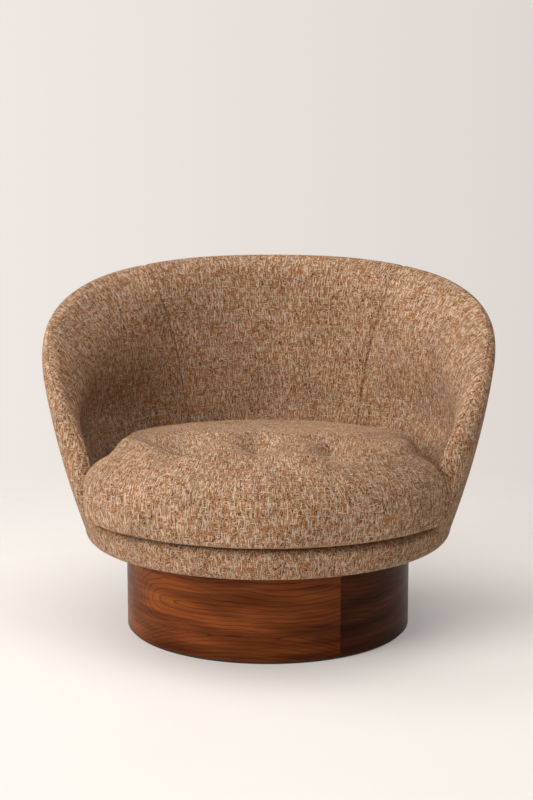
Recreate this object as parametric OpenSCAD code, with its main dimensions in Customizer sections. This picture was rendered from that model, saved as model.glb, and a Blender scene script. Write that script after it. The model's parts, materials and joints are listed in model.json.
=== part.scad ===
// Upholstered tub armchair that swivels on a round veneered drum.
// Z is up, the seat faces -Y, and the origin is on the swivel axis at the floor.

/* [Body] */
// Height of the back above the floor
back_h = 680; // [640:5:730]
// Radius of the body just above its rounded lower edge
foot_r = 339; // [330:1:350]
// Radius that the flare would reach at the height of the back
crown_r = 434; // [420:1:450]
// How far the wall swells between foot and crown
bulge = 94; // [70:1:110]
// Share by which the back is drawn in from a full circle
back_flat = 0.10; // [0.05:0.01:0.14]
// Radius of the rounded lower edge
corner_r = 26; // [22:1:30]
// Height of the front band above the underside
band_h = 62; // [56:1:70]
// Thickness of the band's padded lip
band_t = 28; // [24:1:32]
// Thickness of the wall at the top of the back
wall_t = 66; // [60:1:74]

/* [Rim] */
// Angle from the front at which each arm rises
arm_deg = 62; // [60:1:66]
// Radius where the band turns up into the arm
toe_r = 20; // [16:1:24]
// Squareness of the rim's sweep seen from above
arm_square = 2.67; // [2.4:0.01:3]
// Roundness of the rim's rise
arm_round = 1.02; // [0.9:0.01:1.2]
// Angle from the front at which the seams between arms and back cross the rim
seam_deg = 137; // [130:1:148]
// Angle by which those seams run further back down to the deck
seam_lean = 7.5; // [0:0.5:10]

/* [Upholstery] */
// Thickness of the woven cover
cover_t = 2; // [1.5:0.1:2.5]
// Thickness of the wadding on the outside
wadding_t = 6; // [4:0.5:7]
// Thickness of the foam inside the back
pad_t = 19; // [16:0.5:22]
// Thickness of the boards that close the frame
liner_t = 2.5; // [2:0.1:3]
// Clearance between soft layers
gap = 0.3; // [0.2:0.05:0.5]
// Width of cover turned under the body
hem_w = 24; // [18:1:30]

/* [Frame] */
// Thickness of the seat board
seat_board_t = 18; // [15:1:21]
// Depth of the curved seat rails
rail_t = 30; // [26:1:32]
// Height of the seat rails
rail_h = 27; // [24:1:28]
// Width of each upright rib
rib_w = 18; // [15:1:24]
// Angles from the front of the ribs on each side
rib_degs = [78, 100, 124, 150];
// Width of a webbing strap
strap_w = 50; // [40:1:55]
// Thickness of a webbing strap
strap_t = 1.5; // [1:0.1:1.8]
// Straps in each direction
strap_n = 6; // [4:1:7]

/* [Cushion] */
// Height of the cushion's front crown above the deck
cushion_h = 158; // [145:1:165]
// How much lower the cushion is at the back
cushion_fall = 37; // [20:1:45]
// Reach of the cushion's front from the swivel axis
cushion_front_r = 371; // [362:1:374]
// Angle by which the cushion's front part stops short of the arms
wing_gap_deg = 3; // [2:0.5:6]
// Clearance between the cushion and the walls round it
cushion_gap = 1.6; // [1.4:0.1:3]
// Distance between neighbouring tufts
tuft_pitch = 136; // [120:1:145]
// Place of the tuft row, measured forward from the swivel axis
tuft_y = 168; // [150:1:185]
// Depth of a tuft
tuft_depth = 17; // [10:1:22]
// Diameter of the tufting twine
twine_d = 2.4; // [2:0.1:3]
// Diameter of the tuft buttons under the cushion
button_d = 26; // [20:1:32]

/* [Drum] */
// Diameter of the drum over its veneer
drum_d = 540; // [500:5:570]
// Height of the drum's upper edge above the floor
drum_h = 165; // [140:5:200]
// Thickness of the veneer
veneer_t = 1; // [0.6:0.1:1.5]
// Angles from the front of the veneer's joints
veneer_joints = [-66, 31, 118.67, 206.33];
// Width of a veneer joint
veneer_joint_w = 0.3; // [0.2:0.05:0.5]
// Thickness of the bent plywood wall
drum_wall_t = 12; // [9:1:15]
// Thickness of the panel that closes the drum
top_panel_t = 18; // [15:1:21]
// How far that panel is sunk below the drum's edge
top_recess = 3; // [1:0.5:5]
// Thickness of the board under the drum
foot_board_t = 16; // [12:1:20]
// Height of the black line that shows under the drum
toe_h = 5; // [3:0.5:7]
// How far that line is set back
toe_inset = 5; // [3:0.5:8]
// Number of glue blocks inside the drum
block_n = 8; // [6:1:10]
// Edge of a glue block
block_w = 24; // [18:1:30]

/* [Swivel] */
// Height of the swivel over both plates
swivel_h = 11; // [10.5:0.1:12]
// Side of the square plates
plate_w = 200; // [190:1:220]
// Thickness of the plates
plate_t = 2; // [1.5:0.1:2.2]
// Radius of the ball track
race_r = 78; // [70:1:84]
// Diameter of the balls
ball_d = 6.35; // [6:0.05:6.5]
// Number of balls
ball_n = 20; // [16:1:22]
// Clearance round balls and pivot
run_gap = 0.15; // [0.1:0.01:0.25]
// Diameter of the pivot
pivot_d = 10; // [8:1:12]
// Distance from a plate's edge to its screw
screw_edge = 15; // [12:1:18]
// Diameter of the screws and bolts
screw_d = 6; // [5:0.5:7]

/* [Hidden] */

fabric = [0.66, 0.53, 0.43];
foam = [0.95, 0.90, 0.72];
plywood = [0.80, 0.66, 0.46];
walnut = [0.40, 0.20, 0.10];
steel = [0.70, 0.71, 0.73];
black = [0.10, 0.10, 0.10];
round_fn = 96;

// Heights, from the floor up
drum_r = drum_d / 2;
wall_outer_r = drum_r - veneer_t;
wall_inner_r = wall_outer_r - drum_wall_t;
panel_top_z = drum_h - top_recess;
board_z = panel_top_z + swivel_h;
board_top_z = board_z + seat_board_t;
under_z = board_z - cover_t;
band_z = under_z + band_h;
corner_z = under_z + corner_r;
rail_lift = 8;
rail_z = board_z + rail_lift;
rail_top_z = rail_z + rail_h;
insulator_t = 0.8;
deck_cover_t = 1.5;
insulator_z = rail_top_z + 2 * strap_t + gap;
deck_z = insulator_z + insulator_t + gap;
deck_cover_top_z = band_z + 2 * gap;
deck_top_z = deck_cover_top_z - deck_cover_t - gap;
arm_z = band_z + toe_r;

// Steps round the rim and along a section
band_n = 8;
toe_n = 3;
arm_n = 16;
back_n = 6;
in_n = 3;
roll_n = 6;
out_n = 4;
corner_n = 3;

function unit(v) = v / norm(v);
function at(a, r, z) = [r * sin(a), -r * cos(a), z];
function sum(v, i = 0) = i < len(v) - 1 ? v[i] + sum(v, i + 1) : v[i];
function smooth(t) = let (u = min(1, max(0, t))) u * u * (3 - 2 * u);
function mix(a, b, t) = a + (b - a) * t;

// Outer face of the wall: a flare that grows with height, drawn in towards the back
function flare(z) =
    let (t = (z - under_z) / (back_h - under_z))
    mix(foot_r, crown_r, t) + bulge * t * (1 - t);
function plan(a) = 1 - back_flat * pow(max(0, -cos(a)), 2);
function out_r(a, z) = plan(a) * flare(z);
function wall_thick(z) =
    mix(band_t, wall_t, sqrt(max(0, (z - band_z) / (back_h - band_z))));

// Rim: level over the front band, a fillet, then a superellipse up each arm and across the back
toe_deg = toe_r / foot_r * 180 / PI;
function rim_turn(a) = acos(pow((180 - a) / (180 - arm_deg), arm_square / 2));
function rim_z(a) =
    a < arm_deg ? arm_z : arm_z + (back_h - arm_z) * pow(sin(rim_turn(a)), arm_round);
function band_stop(i) = [(arm_deg - toe_deg) * i / band_n, band_z];
function toe_stop(b) = [arm_deg - toe_deg * (1 - sin(b)), band_z + toe_r * (1 - cos(b))];
function arm_stop(v) =
    let (
        turn = rim_turn(seam_deg) * (1.25 * v - 0.25 * v * v),
        a = 180 - (180 - arm_deg) * pow(cos(turn), 2 / arm_square)
    )
    [a, rim_z(a)];
function back_stop(v) = let (a = mix(seam_deg, 180, v)) [a, rim_z(a)];
half_rim = concat(
    [for (i = [0:band_n - 1]) band_stop(i)],
    [for (i = [0:toe_n - 1]) toe_stop(90 * i / toe_n)],
    [for (i = [0:arm_n - 1]) arm_stop(i / arm_n)],
    [for (i = [0:back_n]) back_stop(i / back_n)]
);
half_n = len(half_rim) - 1;
rim = concat(
    [for (i = [half_n:-1:1]) [-half_rim[i][0], half_rim[i][1]]],
    [for (i = [0:half_n - 1]) half_rim[i]]
);
col_n = len(rim);
arm_i = band_n + toe_n;
seam_i = arm_i + arm_n;

// Frame of each column: the wall's middle at the rim, and the directions along, out and down
function wall_mid(a, z, t) = at(a, out_r(a, z) - t / 2, z);
mids = [for (c = rim) wall_mid(c[0], c[1], wall_thick(c[1]))];
function wall_normal(a, z, t) = unit(cross(
    wall_mid(a + 0.5, z, t) - wall_mid(a - 0.5, z, t),
    wall_mid(a, z + 5, t) - wall_mid(a, z - 5, t)
));
function column(i) =
    let (
        a = rim[i][0],
        z = rim[i][1],
        t = wall_thick(z),
        along = unit(mids[(i + 1) % col_n] - mids[(i + col_n - 1) % col_n]),
        out = wall_normal(a, z, t),
        down = unit(cross(along, out))
    )
    [mids[i] + down * t / 2, along, out, down, t];
columns = [for (i = [0:col_n - 1]) column(i)];

function roll_point(c, turn) =
    c[0] + (c[2] * sin(turn) - c[3] * cos(turn)) * c[4] / 2;
function angle_of(p) = atan2(p[0], -p[1]);
function reach_of(p) = norm([p[0], p[1]]);
function in_point(e, z, lean = 0) =
    let (a = angle_of(e) + lean) at(a, reach_of(e) + out_r(a, z) - out_r(angle_of(e), e[2]), z);
function out_point(e, s) =
    let (
        a = angle_of(e),
        z = mix(e[2], corner_z, s),
        lift = (reach_of(e) - out_r(a, e[2])) * pow(1 - s, 2)
    )
    at(a, out_r(a, z) + lift, z);
function corner_point(e, b) =
    let (a = angle_of(e))
    at(a, out_r(a, corner_z) - corner_r * (1 - cos(b)), corner_z - corner_r * sin(b));
function hem_point(e) =
    let (a = angle_of(e)) at(a, out_r(a, corner_z) - corner_r - hem_w, under_z);
function lean_at(a) =
    let (b = abs(a), share = b < seam_deg ? (b - arm_deg) / (seam_deg - arm_deg) : (180 - b) / (180 - seam_deg))
    sign(a) * seam_lean * smooth(share);
function section(c) =
    let (inner = roll_point(c, -90), outer = roll_point(c, 90), lean = lean_at(angle_of(c[0])))
    concat(
        [for (j = [0:in_n - 1])
            in_point(inner, mix(deck_z, inner[2], j / in_n), lean * (1 - pow(j / in_n, 3)))],
        [for (j = [0:roll_n]) roll_point(c, -90 + 180 * j / roll_n)],
        [for (j = [1:out_n]) out_point(outer, j / out_n)],
        [for (j = [1:corner_n]) corner_point(outer, 90 * j / corner_n)],
        [hem_point(outer)]
    );
skin = [for (c = columns) section(c)];
row_n = len(skin[0]);
rim_row = in_n + roll_n / 2;
seam_row = rim_row + 1;
pad_row = rim_row + 2;
wall_row = in_n + roll_n;
corner_row = wall_row + out_n;

// Outward direction of the skin at each of its points
function skin_normal(i, j) =
    let (
        along = skin[(i + 1) % col_n][j] - skin[(i + col_n - 1) % col_n][j],
        up = skin[i][max(0, j - 1)] - skin[i][min(row_n - 1, j + 1)]
    )
    unit(cross(along, up));
normals = [for (i = [0:col_n - 1]) [for (j = [0:row_n - 1]) skin_normal(i, j)]];
function level(v) = unit([v[0], v[1], 0]);
function sunk(i, j, d) = skin[i][j] - (j == 0 ? level(normals[i][j]) : normals[i][j]) * d;

// Depths of the layers under the skin, by column and row
wadding_depth = cover_t + gap + wadding_t;
function roll_share(j) = min(1, max(0, (j - in_n) / (pad_row - in_n)));
function pad_depth(i, j) =
    let (full = cover_t + gap + pad_t * columns[i][4] / wall_t)
    mix(full, wadding_depth, roll_share(j));
on_skin = function (i, j) 0;
under_cover = function (i, j) cover_t;
over_pad = function (i, j) cover_t + gap;
under_pad = function (i, j) pad_depth(i, j);
over_liner = function (i, j) pad_depth(i, j) + gap;
under_liner = function (i, j) pad_depth(i, j) + gap + liner_t;
under_wadding = function (i, j) wadding_depth;
over_board = function (i, j) wadding_depth + gap;
under_board = function (i, j) wadding_depth + gap + liner_t;

function quad(a, b, c, d) = [[a, b, c], [a, c, d]];
function flat(lists) = [for (l = lists) for (v = l) v];

// Closed solid between two point grids of n columns and m rows; wrap joins the last column
// to the first, and turned says which columns split their quads the other way
module grid_solid(upper, lower, turned, wrap = false) {
    n = len(upper);
    m = len(upper[0]);
    size = n * m;
    last = wrap ? n - 1 : n - 2;
    function top(k, j) = (k % n) * m + j;
    function low(k, j) = size + top(k, j);
    function top_quad(k, j) = turned[k]
        ? quad(top(k + 1, j), top(k + 1, j + 1), top(k, j + 1), top(k, j))
        : quad(top(k, j), top(k + 1, j), top(k + 1, j + 1), top(k, j + 1));
    function low_quad(k, j) = [for (f = top_quad(k, j)) [f[2] + size, f[1] + size, f[0] + size]];
    faces = flat(concat(
        [for (k = [0:last]) for (j = [0:m - 2]) top_quad(k, j)],
        [for (k = [0:last]) for (j = [0:m - 2]) low_quad(k, j)],
        [for (k = [0:last]) quad(top(k, 0), low(k, 0), low(k + 1, 0), top(k + 1, 0))],
        [for (k = [0:last])
            quad(low(k + 1, m - 1), low(k, m - 1), top(k, m - 1), top(k + 1, m - 1))],
        wrap ? [] : [for (j = [0:m - 2]) quad(top(0, j), top(0, j + 1), low(0, j + 1), low(0, j))],
        wrap ? [] : [for (j = [0:m - 2])
            quad(low(n - 1, j + 1), top(n - 1, j + 1), top(n - 1, j), low(n - 1, j))]
    ));
    polyhedron(points = flat(concat(upper, lower)), faces = faces);
}

// Layer of the upholstery over columns first..first+steps and rows row0..row1
module layer(first, steps, row0, row1, d0, d1) {
    whole = steps == col_n;
    run = [for (k = [0:whole ? steps - 1 : steps]) (first + k + col_n) % col_n];
    grid_solid(
        [for (i = run) [for (j = [row0:row1]) sunk(i, j, d0(i, j))]],
        [for (i = run) [for (j = [row0:row1]) sunk(i, j, d1(i, j))]],
        [for (i = run) i >= front_i],
        whole
    );
}
front_i = half_n;
right_seam = front_i + seam_i;
left_seam = front_i - seam_i;
right_arm = front_i + arm_i;
left_arm = front_i - arm_i;
arm_steps = seam_i - arm_i;
back_steps = 2 * (half_n - seam_i);

// Rings of points that follow the body at one height
ring_n = 72;
function ring_angles() = [for (i = [0:ring_n - 1]) 360 * i / ring_n];
function ring(inset) =
    [for (a = ring_angles()) let (r = out_r(a, corner_z) - corner_r - inset) [r * sin(a), -r * cos(a)]];
module ring_plate(z, t, inset) {
    translate([0, 0, z]) linear_extrude(t) polygon(ring(inset));
}

// Drum
module foot_board() {
    color(black) union() {
        cylinder(h = toe_h, r = drum_r - toe_inset, $fn = round_fn);
        cylinder(h = foot_board_t, r = wall_inner_r, $fn = round_fn);
    }
}
module tube(z, h, r, t) {
    translate([0, 0, z]) difference() {
        cylinder(h = h, r = r, $fn = round_fn);
        translate([0, 0, -1]) cylinder(h = h + 2, r = r - t, $fn = round_fn);
    }
}
module plinth_wall() {
    color(plywood) tube(toe_h, drum_h - toe_h, wall_outer_r, drum_wall_t);
}
module veneer_panel(from, to) {
    joint_deg = veneer_joint_w / drum_r * 180 / PI;
    color(walnut)
        translate([0, 0, toe_h])
        rotate(from + joint_deg / 2 - 90)
        rotate_extrude(angle = to - from - joint_deg, $fn = round_fn)
        translate([wall_outer_r, 0]) square([veneer_t, drum_h - toe_h]);
}
module veneer_front() { veneer_panel(veneer_joints[0], veneer_joints[1]); }
module veneer_right() { veneer_panel(veneer_joints[1], veneer_joints[2]); }
module veneer_back() { veneer_panel(veneer_joints[2], veneer_joints[3]); }
module veneer_left() { veneer_panel(veneer_joints[3], veneer_joints[0] + 360); }

head_t = 4;
head_room = 4;
pivot_hole_d = 34;
module plinth_top_panel() {
    color(plywood) translate([0, 0, panel_top_z - top_panel_t]) difference() {
        cylinder(h = top_panel_t, r = wall_inner_r, $fn = round_fn);
        translate([0, 0, top_panel_t - head_t - head_room])
            cylinder(h = top_panel_t, d = pivot_hole_d, $fn = round_fn);
        at_plate_corners() translate([0, 0, -1])
            cylinder(h = top_panel_t + 2, d = screw_d, $fn = round_fn);
    }
}
block_h = panel_top_z - top_panel_t - foot_board_t;
module plinth_blocks() {
    color(plywood) intersection() {
        translate([0, 0, foot_board_t])
            cylinder(h = block_h, r = wall_inner_r, $fn = round_fn);
        for (i = [0:block_n - 1])
            rotate(360 * (i + 0.5) / block_n)
            translate([0, block_w / 2 - wall_inner_r, foot_board_t + block_h / 2])
            cube([block_w, block_w, block_h], center = true);
    }
}

// Swivel: two pressed plates with a ball track between them, held by a central pivot
race_w = 12;
race_gap = 2.6;
ball_z = panel_top_z + swivel_h / 2;
race_h = (swivel_h - race_gap) / 2 - plate_t;
cage_t = 1.2;
cage_w = 16;
pivot_head_d = 22;
washer_t = 1.5;
nut_t = 8;
nut_w = 17;
module at_plate_corners() {
    reach = plate_w / 2 - screw_edge;
    for (x = [-1, 1]) for (y = [-1, 1]) translate([x * reach, y * reach, 0]) children();
}
module ball_track() {
    translate([0, 0, ball_z]) rotate_extrude($fn = round_fn)
        translate([race_r, 0]) circle(d = ball_d + 2 * run_gap, $fn = 48);
}
module swivel_plate(z, race_z) {
    difference() {
        union() {
            translate([-plate_w / 2, -plate_w / 2, z]) cube([plate_w, plate_w, plate_t]);
            tube(race_z, race_h, race_r + race_w / 2, race_w);
        }
        ball_track();
        translate([0, 0, z - 1]) cylinder(h = plate_t + 2, d = pivot_d + 2 * run_gap, $fn = 48);
        at_plate_corners() translate([0, 0, z - 1])
            cylinder(h = plate_t + 2, d = screw_d, $fn = 48);
    }
}
module swivel_lower_plate() {
    color(steel) swivel_plate(panel_top_z, panel_top_z + plate_t);
}
module swivel_upper_plate() {
    color(steel) swivel_plate(board_z - plate_t, board_z - plate_t - race_h);
}
module swivel_pivot() {
    top_z = board_z + washer_t + nut_t + 3;
    color(steel) union() {
        translate([0, 0, panel_top_z - head_t]) cylinder(h = head_t, d = pivot_head_d, $fn = 48);
        translate([0, 0, panel_top_z - 1])
            cylinder(h = top_z - panel_top_z + 1, d = pivot_d, $fn = 48);
    }
}
module pivot_washer() {
    color(steel) tube(board_z + run_gap, washer_t - run_gap, pivot_head_d / 2,
                      pivot_head_d / 2 - pivot_d / 2);
}
module pivot_nut() {
    color(steel) translate([0, 0, board_z + washer_t]) difference() {
        cylinder(h = nut_t, d = nut_w / cos(30), $fn = 6);
        translate([0, 0, -1]) cylinder(h = nut_t + 2, d = pivot_d, $fn = 48);
    }
}
module lower_plate_screws() {
    color(steel) at_plate_corners() union() {
        translate([0, 0, panel_top_z - top_panel_t]) cylinder(h = top_panel_t + plate_t, d = screw_d, $fn = 48);
        translate([0, 0, panel_top_z + plate_t]) cylinder(h = 2, d = 2 * screw_d, $fn = 48);
    }
}
module upper_plate_bolts() {
    color(steel) at_plate_corners() union() {
        translate([0, 0, board_z - plate_t]) cylinder(h = seat_board_t + plate_t, d = screw_d, $fn = 48);
        translate([0, 0, board_z - plate_t - 2]) cylinder(h = 2, d = 2 * screw_d, $fn = 48);
    }
}
tee_nut_d = 18;
tee_nut_t = 1.5;
module bolt_tee_nuts() {
    color(steel) at_plate_corners() tube(board_top_z, tee_nut_t, tee_nut_d / 2, (tee_nut_d - screw_d) / 2);
}
module ball_cage() {
    color(steel) difference() {
        tube(ball_z - cage_t / 2, cage_t, race_r + cage_w / 2, cage_w);
        for (i = [0:ball_n - 1])
            rotate(360 * i / ball_n) translate([race_r, 0, ball_z - cage_t])
            cylinder(h = 2 * cage_t, d = ball_d + 2 * run_gap, $fn = 48);
    }
}
module swivel_balls() {
    color(steel) for (i = [0:ball_n - 1])
        rotate(360 * i / ball_n) translate([race_r, 0, ball_z]) sphere(d = ball_d, $fn = 32);
}

// Seat frame
rail_foot = rail_t - 4;
module seat_board() {
    color(plywood) difference() {
        ring_plate(board_z, seat_board_t, rail_foot + 3 * gap);
        translate([0, 0, board_z - 1])
            cylinder(h = seat_board_t + 2, d = pivot_hole_d, $fn = round_fn);
        at_plate_corners() translate([0, 0, board_z - 1])
            cylinder(h = seat_board_t + 2, d = screw_d, $fn = 48);
    }
}
rail_sink = wadding_depth + 2;
web_land = 8;
function rail_outer(i, z) =
    let (a = rim[i][0])
    z < rail_top_z ? at(a, out_r(a, corner_z) - corner_r + rail_t - rail_foot, z)
                   : at(a, out_r(a, z) - rail_sink, z);
function rail_inner(i, z) = let (p = rail_outer(i, z), a = rim[i][0]) at(a, reach_of(p) - rail_t, z);
module seat_rail(first, steps) {
    run = [for (k = [0:steps]) (first + k + col_n) % col_n];
    color(plywood) grid_solid(
        [for (i = run) [rail_outer(i, rail_top_z), rail_outer(i, rail_z)]],
        [for (i = run) [rail_inner(i, rail_top_z), rail_inner(i, rail_z)]],
        [for (i = run) i >= front_i]
    );
}
function index_near(deg, i = 0) = half_rim[i][0] >= deg || i == half_n ? i : index_near(deg, i + 1);
front_joint = index_near(45);
back_joint = index_near(132);
module seat_rail_front() { seat_rail(front_i - front_joint, 2 * front_joint); }
module seat_rail_right() { seat_rail(front_i + front_joint, back_joint - front_joint); }
module seat_rail_back() { seat_rail(front_i + back_joint, 2 * (half_n - back_joint)); }
module seat_rail_left() { seat_rail(front_i - back_joint, back_joint - front_joint); }

rail_block_l = 60;
module rail_blocks() {
    block = 16;
    color(plywood) for (i = [front_joint, back_joint]) for (side = [-1, 1]) {
        a = side * half_rim[i][0];
        r = out_r(a, corner_z) - corner_r - rail_foot - 3;
        rotate(a) translate([0, block / 2 - r, board_top_z + block / 2])
            cube([rail_block_l, block, block], center = true);
    }
}

// Bent rail in the roll of the rim, from one front end over the back to the other
rail_rise = 0.1;
rail_drop = 0.21;
function rail_section(i, spare = 0) =
    let (
        c = columns[i],
        t = c[4],
        inner = pad_depth(i, 0) + 2 * gap + liner_t - t / 2 - spare,
        outer = t / 2 - wadding_depth - 2 * gap - liner_t - 3.2 + spare,
        high = rail_rise * t + spare,
        low = -rail_drop * t - min(gap, spare)
    )
    [for (k = [[inner, high], [outer, high], [outer, low], [inner, low]])
        c[0] + c[2] * k[0] - c[3] * k[1]];
function stood(i) =
    let (along = columns[i][1])
    [for (p = rail_section(i)) p + along * (rail_top_z - p[2]) / along[2]];
module bent_rail(sections) {
    n = len(sections);
    sides = flat([for (i = [0:n - 2]) for (k = [0:3]) let (m = (k + 1) % 4)
        quad(4 * i + k, 4 * i + 4 + k, 4 * i + 4 + m, 4 * i + m)]);
    ends = concat(quad(0, 1, 2, 3), quad(4 * n - 1, 4 * n - 2, 4 * n - 3, 4 * n - 4));
    polyhedron(points = flat(sections), faces = concat(sides, ends));
}
top_rail_run = [for (k = [0:2 * (half_n - arm_i)]) (right_arm + k) % col_n];
module top_rail() {
    color(plywood) bent_rail(concat(
        [stood(right_arm)],
        [for (i = top_rail_run) rail_section(i)],
        [stood(left_arm)]
    ));
}

// Ribs that carry the bent rail, let into its underside
rib_steps = 6;
rib_sink = under_board(0, 0) * 1.07 + 1.8;
rib_d = rail_t + rail_sink - rib_sink - web_land - 2 * gap;
function rib_outline(i, low, high) =
    let (
        a = angle_of(columns[i][0]),
        zs = [for (k = [0:rib_steps]) mix(low, high, k / rib_steps)],
        outer = [for (z = zs) [out_r(a, z) - rib_sink, z]]
    )
    concat(outer, [for (k = [rib_steps:-1:0]) outer[k] - [rib_d, 0]]);
module rib(i) {
    c = columns[i % col_n];
    difference() {
        rotate(angle_of(c[0]) - 90)
            rotate([90, 0, 0])
            translate([0, 0, -rib_w / 2])
            linear_extrude(rib_w)
            polygon(rib_outline(i % col_n, rail_top_z, c[0][2]));
        bent_rail([for (k = [-2:2]) rail_section((i + k + col_n) % col_n, rail_t / 2)]);
    }
}
module frame_ribs() {
    color(plywood) {
        rib(0);
        for (deg = rib_degs) for (side = [-1, 1]) rib(front_i + side * index_near(deg));
    }
}
wall_steps = 2 * (half_n - arm_i) - 2;
module inner_liner() {
    color(plywood) layer(right_arm + 1, wall_steps, 0, in_n, over_liner, under_liner);
}
module outer_liner() {
    color(plywood) layer(right_arm + 1, wall_steps, wall_row, corner_row - 1, over_board, under_board);
}

// Deck under the cushion
module web_area(z, t) {
    land = [for (i = [0:col_n - 1])
        let (p = rail_inner(i, rail_top_z), r = reach_of(p) + web_land, a = rim[i][0]) [r * sin(a), -r * cos(a)]];
    translate([0, 0, z]) linear_extrude(t) polygon(land);
}
strap_pitch = 88;
module straps(z, turn) {
    color(black) intersection() {
        web_area(z, strap_t);
        rotate(turn) for (k = [0:strap_n - 1])
            translate([(k - (strap_n - 1) / 2) * strap_pitch - strap_w / 2, -crown_r, z - 1])
            cube([strap_w, 2 * crown_r, strap_t + 2]);
    }
}
module webbing_lengthwise() { straps(rail_top_z, 0); }
module webbing_crosswise() { straps(rail_top_z + strap_t, 90); }
deck_edge_gap = 1.4;
function deck_ring(z, inset) =
    [for (i = [0:col_n - 1])
        let (p = in_point(roll_point(columns[i], -90), z)) at(angle_of(p), reach_of(p) - inset, z)];
module slab(low_z, high_z, inset) {
    low = deck_ring(low_z, inset);
    high = deck_ring(high_z, inset);
    n = col_n;
    faces = flat(concat(
        [for (i = [0:n - 1]) let (j = (i + 1) % n) quad(n + i, n + j, j, i)],
        [for (i = [0:n - 1]) let (j = (i + 1) % n) [[2 * n, i, j], [2 * n + 1, n + j, n + i]]]
    ));
    polyhedron(points = concat(low, high, [[0, 0, low_z], [0, 0, high_z]]), faces = faces);
}
module deck_insulator() {
    color(foam) translate([0, 0, insulator_z]) linear_extrude(insulator_t)
        polygon([for (p = deck_ring(deck_z, deck_edge_gap)) [p[0], p[1]]]);
}
module deck_pad() { color(foam) slab(deck_z, deck_top_z, deck_edge_gap); }
module deck_cover() { color(fabric) slab(deck_top_z + gap, deck_cover_top_z, deck_edge_gap); }

// Padding and covers of the body
module pad(first, steps) { color(foam) layer(first, steps, 0, pad_row, over_pad, under_pad); }
module wadding(first, steps) {
    color(foam) layer(first, steps, pad_row, corner_row + corner_n, over_pad, under_wadding);
}
module inside_back_pad() { pad(right_seam, back_steps); }
module inside_arm_pad_right() { pad(right_arm, arm_steps); }
module inside_arm_pad_left() { pad(left_seam, arm_steps); }
module front_band_pad() { pad(left_arm, 2 * arm_i); }
module outside_back_wadding() { wadding(right_seam, back_steps); }
module outside_wadding_right() { wadding(right_arm, arm_steps); }
module outside_wadding_left() { wadding(left_seam, arm_steps); }
module front_band_wadding() { wadding(left_arm, 2 * arm_i); }
module inside_back_cover() {
    color(fabric) layer(right_seam, back_steps, 0, seam_row, on_skin, under_cover);
}
module inside_arm_cover_right() {
    color(fabric) layer(right_arm, arm_steps, 0, seam_row, on_skin, under_cover);
}
module inside_arm_cover_left() {
    color(fabric) layer(left_seam, arm_steps, 0, seam_row, on_skin, under_cover);
}
module front_band_cover() {
    color(fabric) layer(left_arm, 2 * arm_i, 0, row_n - 1, on_skin, under_cover);
}
module outside_cover_right() {
    color(fabric) layer(right_arm, arm_steps, seam_row, row_n - 1, on_skin, under_cover);
}
module outside_back_cover() {
    color(fabric) layer(right_seam, back_steps, seam_row, row_n - 1, on_skin, under_cover);
}
module outside_cover_left() {
    color(fabric) layer(left_seam, arm_steps, seam_row, row_n - 1, on_skin, under_cover);
}
dust_t = 1;
module dust_cover() {
    color(black) difference() {
        ring_plate(board_z - dust_t, dust_t, hem_w + 2);
        translate([0, 0, board_z - dust_t - 1])
            cylinder(h = dust_t + 2, r = plate_w / 2 * sqrt(2) + 4, $fn = round_fn);
    }
}
staple_n = 36;
staple = [1.2, 10, 0.6];
module cover_staples() {
    color(steel) for (i = [0:staple_n - 1]) {
        a = 360 * (i + 0.5) / staple_n;
        r = out_r(a, corner_z) - corner_r - hem_w + staple[1];
        rotate(a) translate([0, -r, under_z - staple[2] / 2]) cube(staple, center = true);
    }
}

// Loose cushion: a round front that stands before the arms, a narrower part between them
cushion_z = deck_cover_top_z + gap;
crown_power = 6;
mid_share = 0.42;
fall_reach = 250;
foot_draw = 20;
wing_from = arm_deg - wing_gap_deg;
wing_turn = 4.5;
foot_lead = 3.5;
crown_mean_r = 334;
crown_steps = 8;
side_steps = 3;
tuft_shift = -10;
tuft_spread = 40;
pull_w = 60;
tufts = [for (k = [-1, 0, 1]) [tuft_shift + k * tuft_pitch, -tuft_y]];
function between_r(a, z) =
    let (b = abs(a)) out_r(b, z) - 1.07 * wall_thick(rim_z(b)) - cushion_gap;
function wing_share(a, lead) = smooth((abs(a) + lead - wing_from) / wing_turn);
function cushion_top(y) =
    cushion_z + cushion_h - cushion_fall * smooth((y + fall_reach) / (2 * fall_reach));
function cushion_mid(y) = mix(cushion_z, cushion_top(y), mid_share);
function cushion_r(a, z, draw, lead) =
    mix(cushion_front_r - draw, between_r(a, z), wing_share(a, lead));
function dip(p) =
    tuft_depth * sum([for (t = tufts) exp(-pow(norm(p - t) / tuft_spread, 2))]);

// Directions round the cushion, closer together at the wings
half_turns = concat(
    [for (k = [0:7]) (wing_from - 2) * k / 8],
    [for (k = [0:3]) wing_from - 2 + (wing_turn + 4) * k / 4],
    [for (k = [0:12]) mix(wing_from + wing_turn + 2, 180, k / 12)]
);
turn_n = 2 * (len(half_turns) - 1);
turns = [for (i = [0:turn_n - 1]) i < turn_n / 2 ? half_turns[i] : -half_turns[turn_n - i]];
function crown_share(k) = sin(80 * k / crown_steps) / sin(80);
function heading(i) = let (a = turns[i % turn_n]) [sin(a), -cos(a)];
function plain_point(i, k) =
    let (
        edge_z = cushion_mid(heading(i)[1] * cushion_front_r),
        edge_r = cushion_r(turns[i % turn_n], edge_z, 0, 0),
        s = crown_share(k)
    )
    heading(i) * s * mix(crown_mean_r, edge_r, pow(s, 4));

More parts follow.
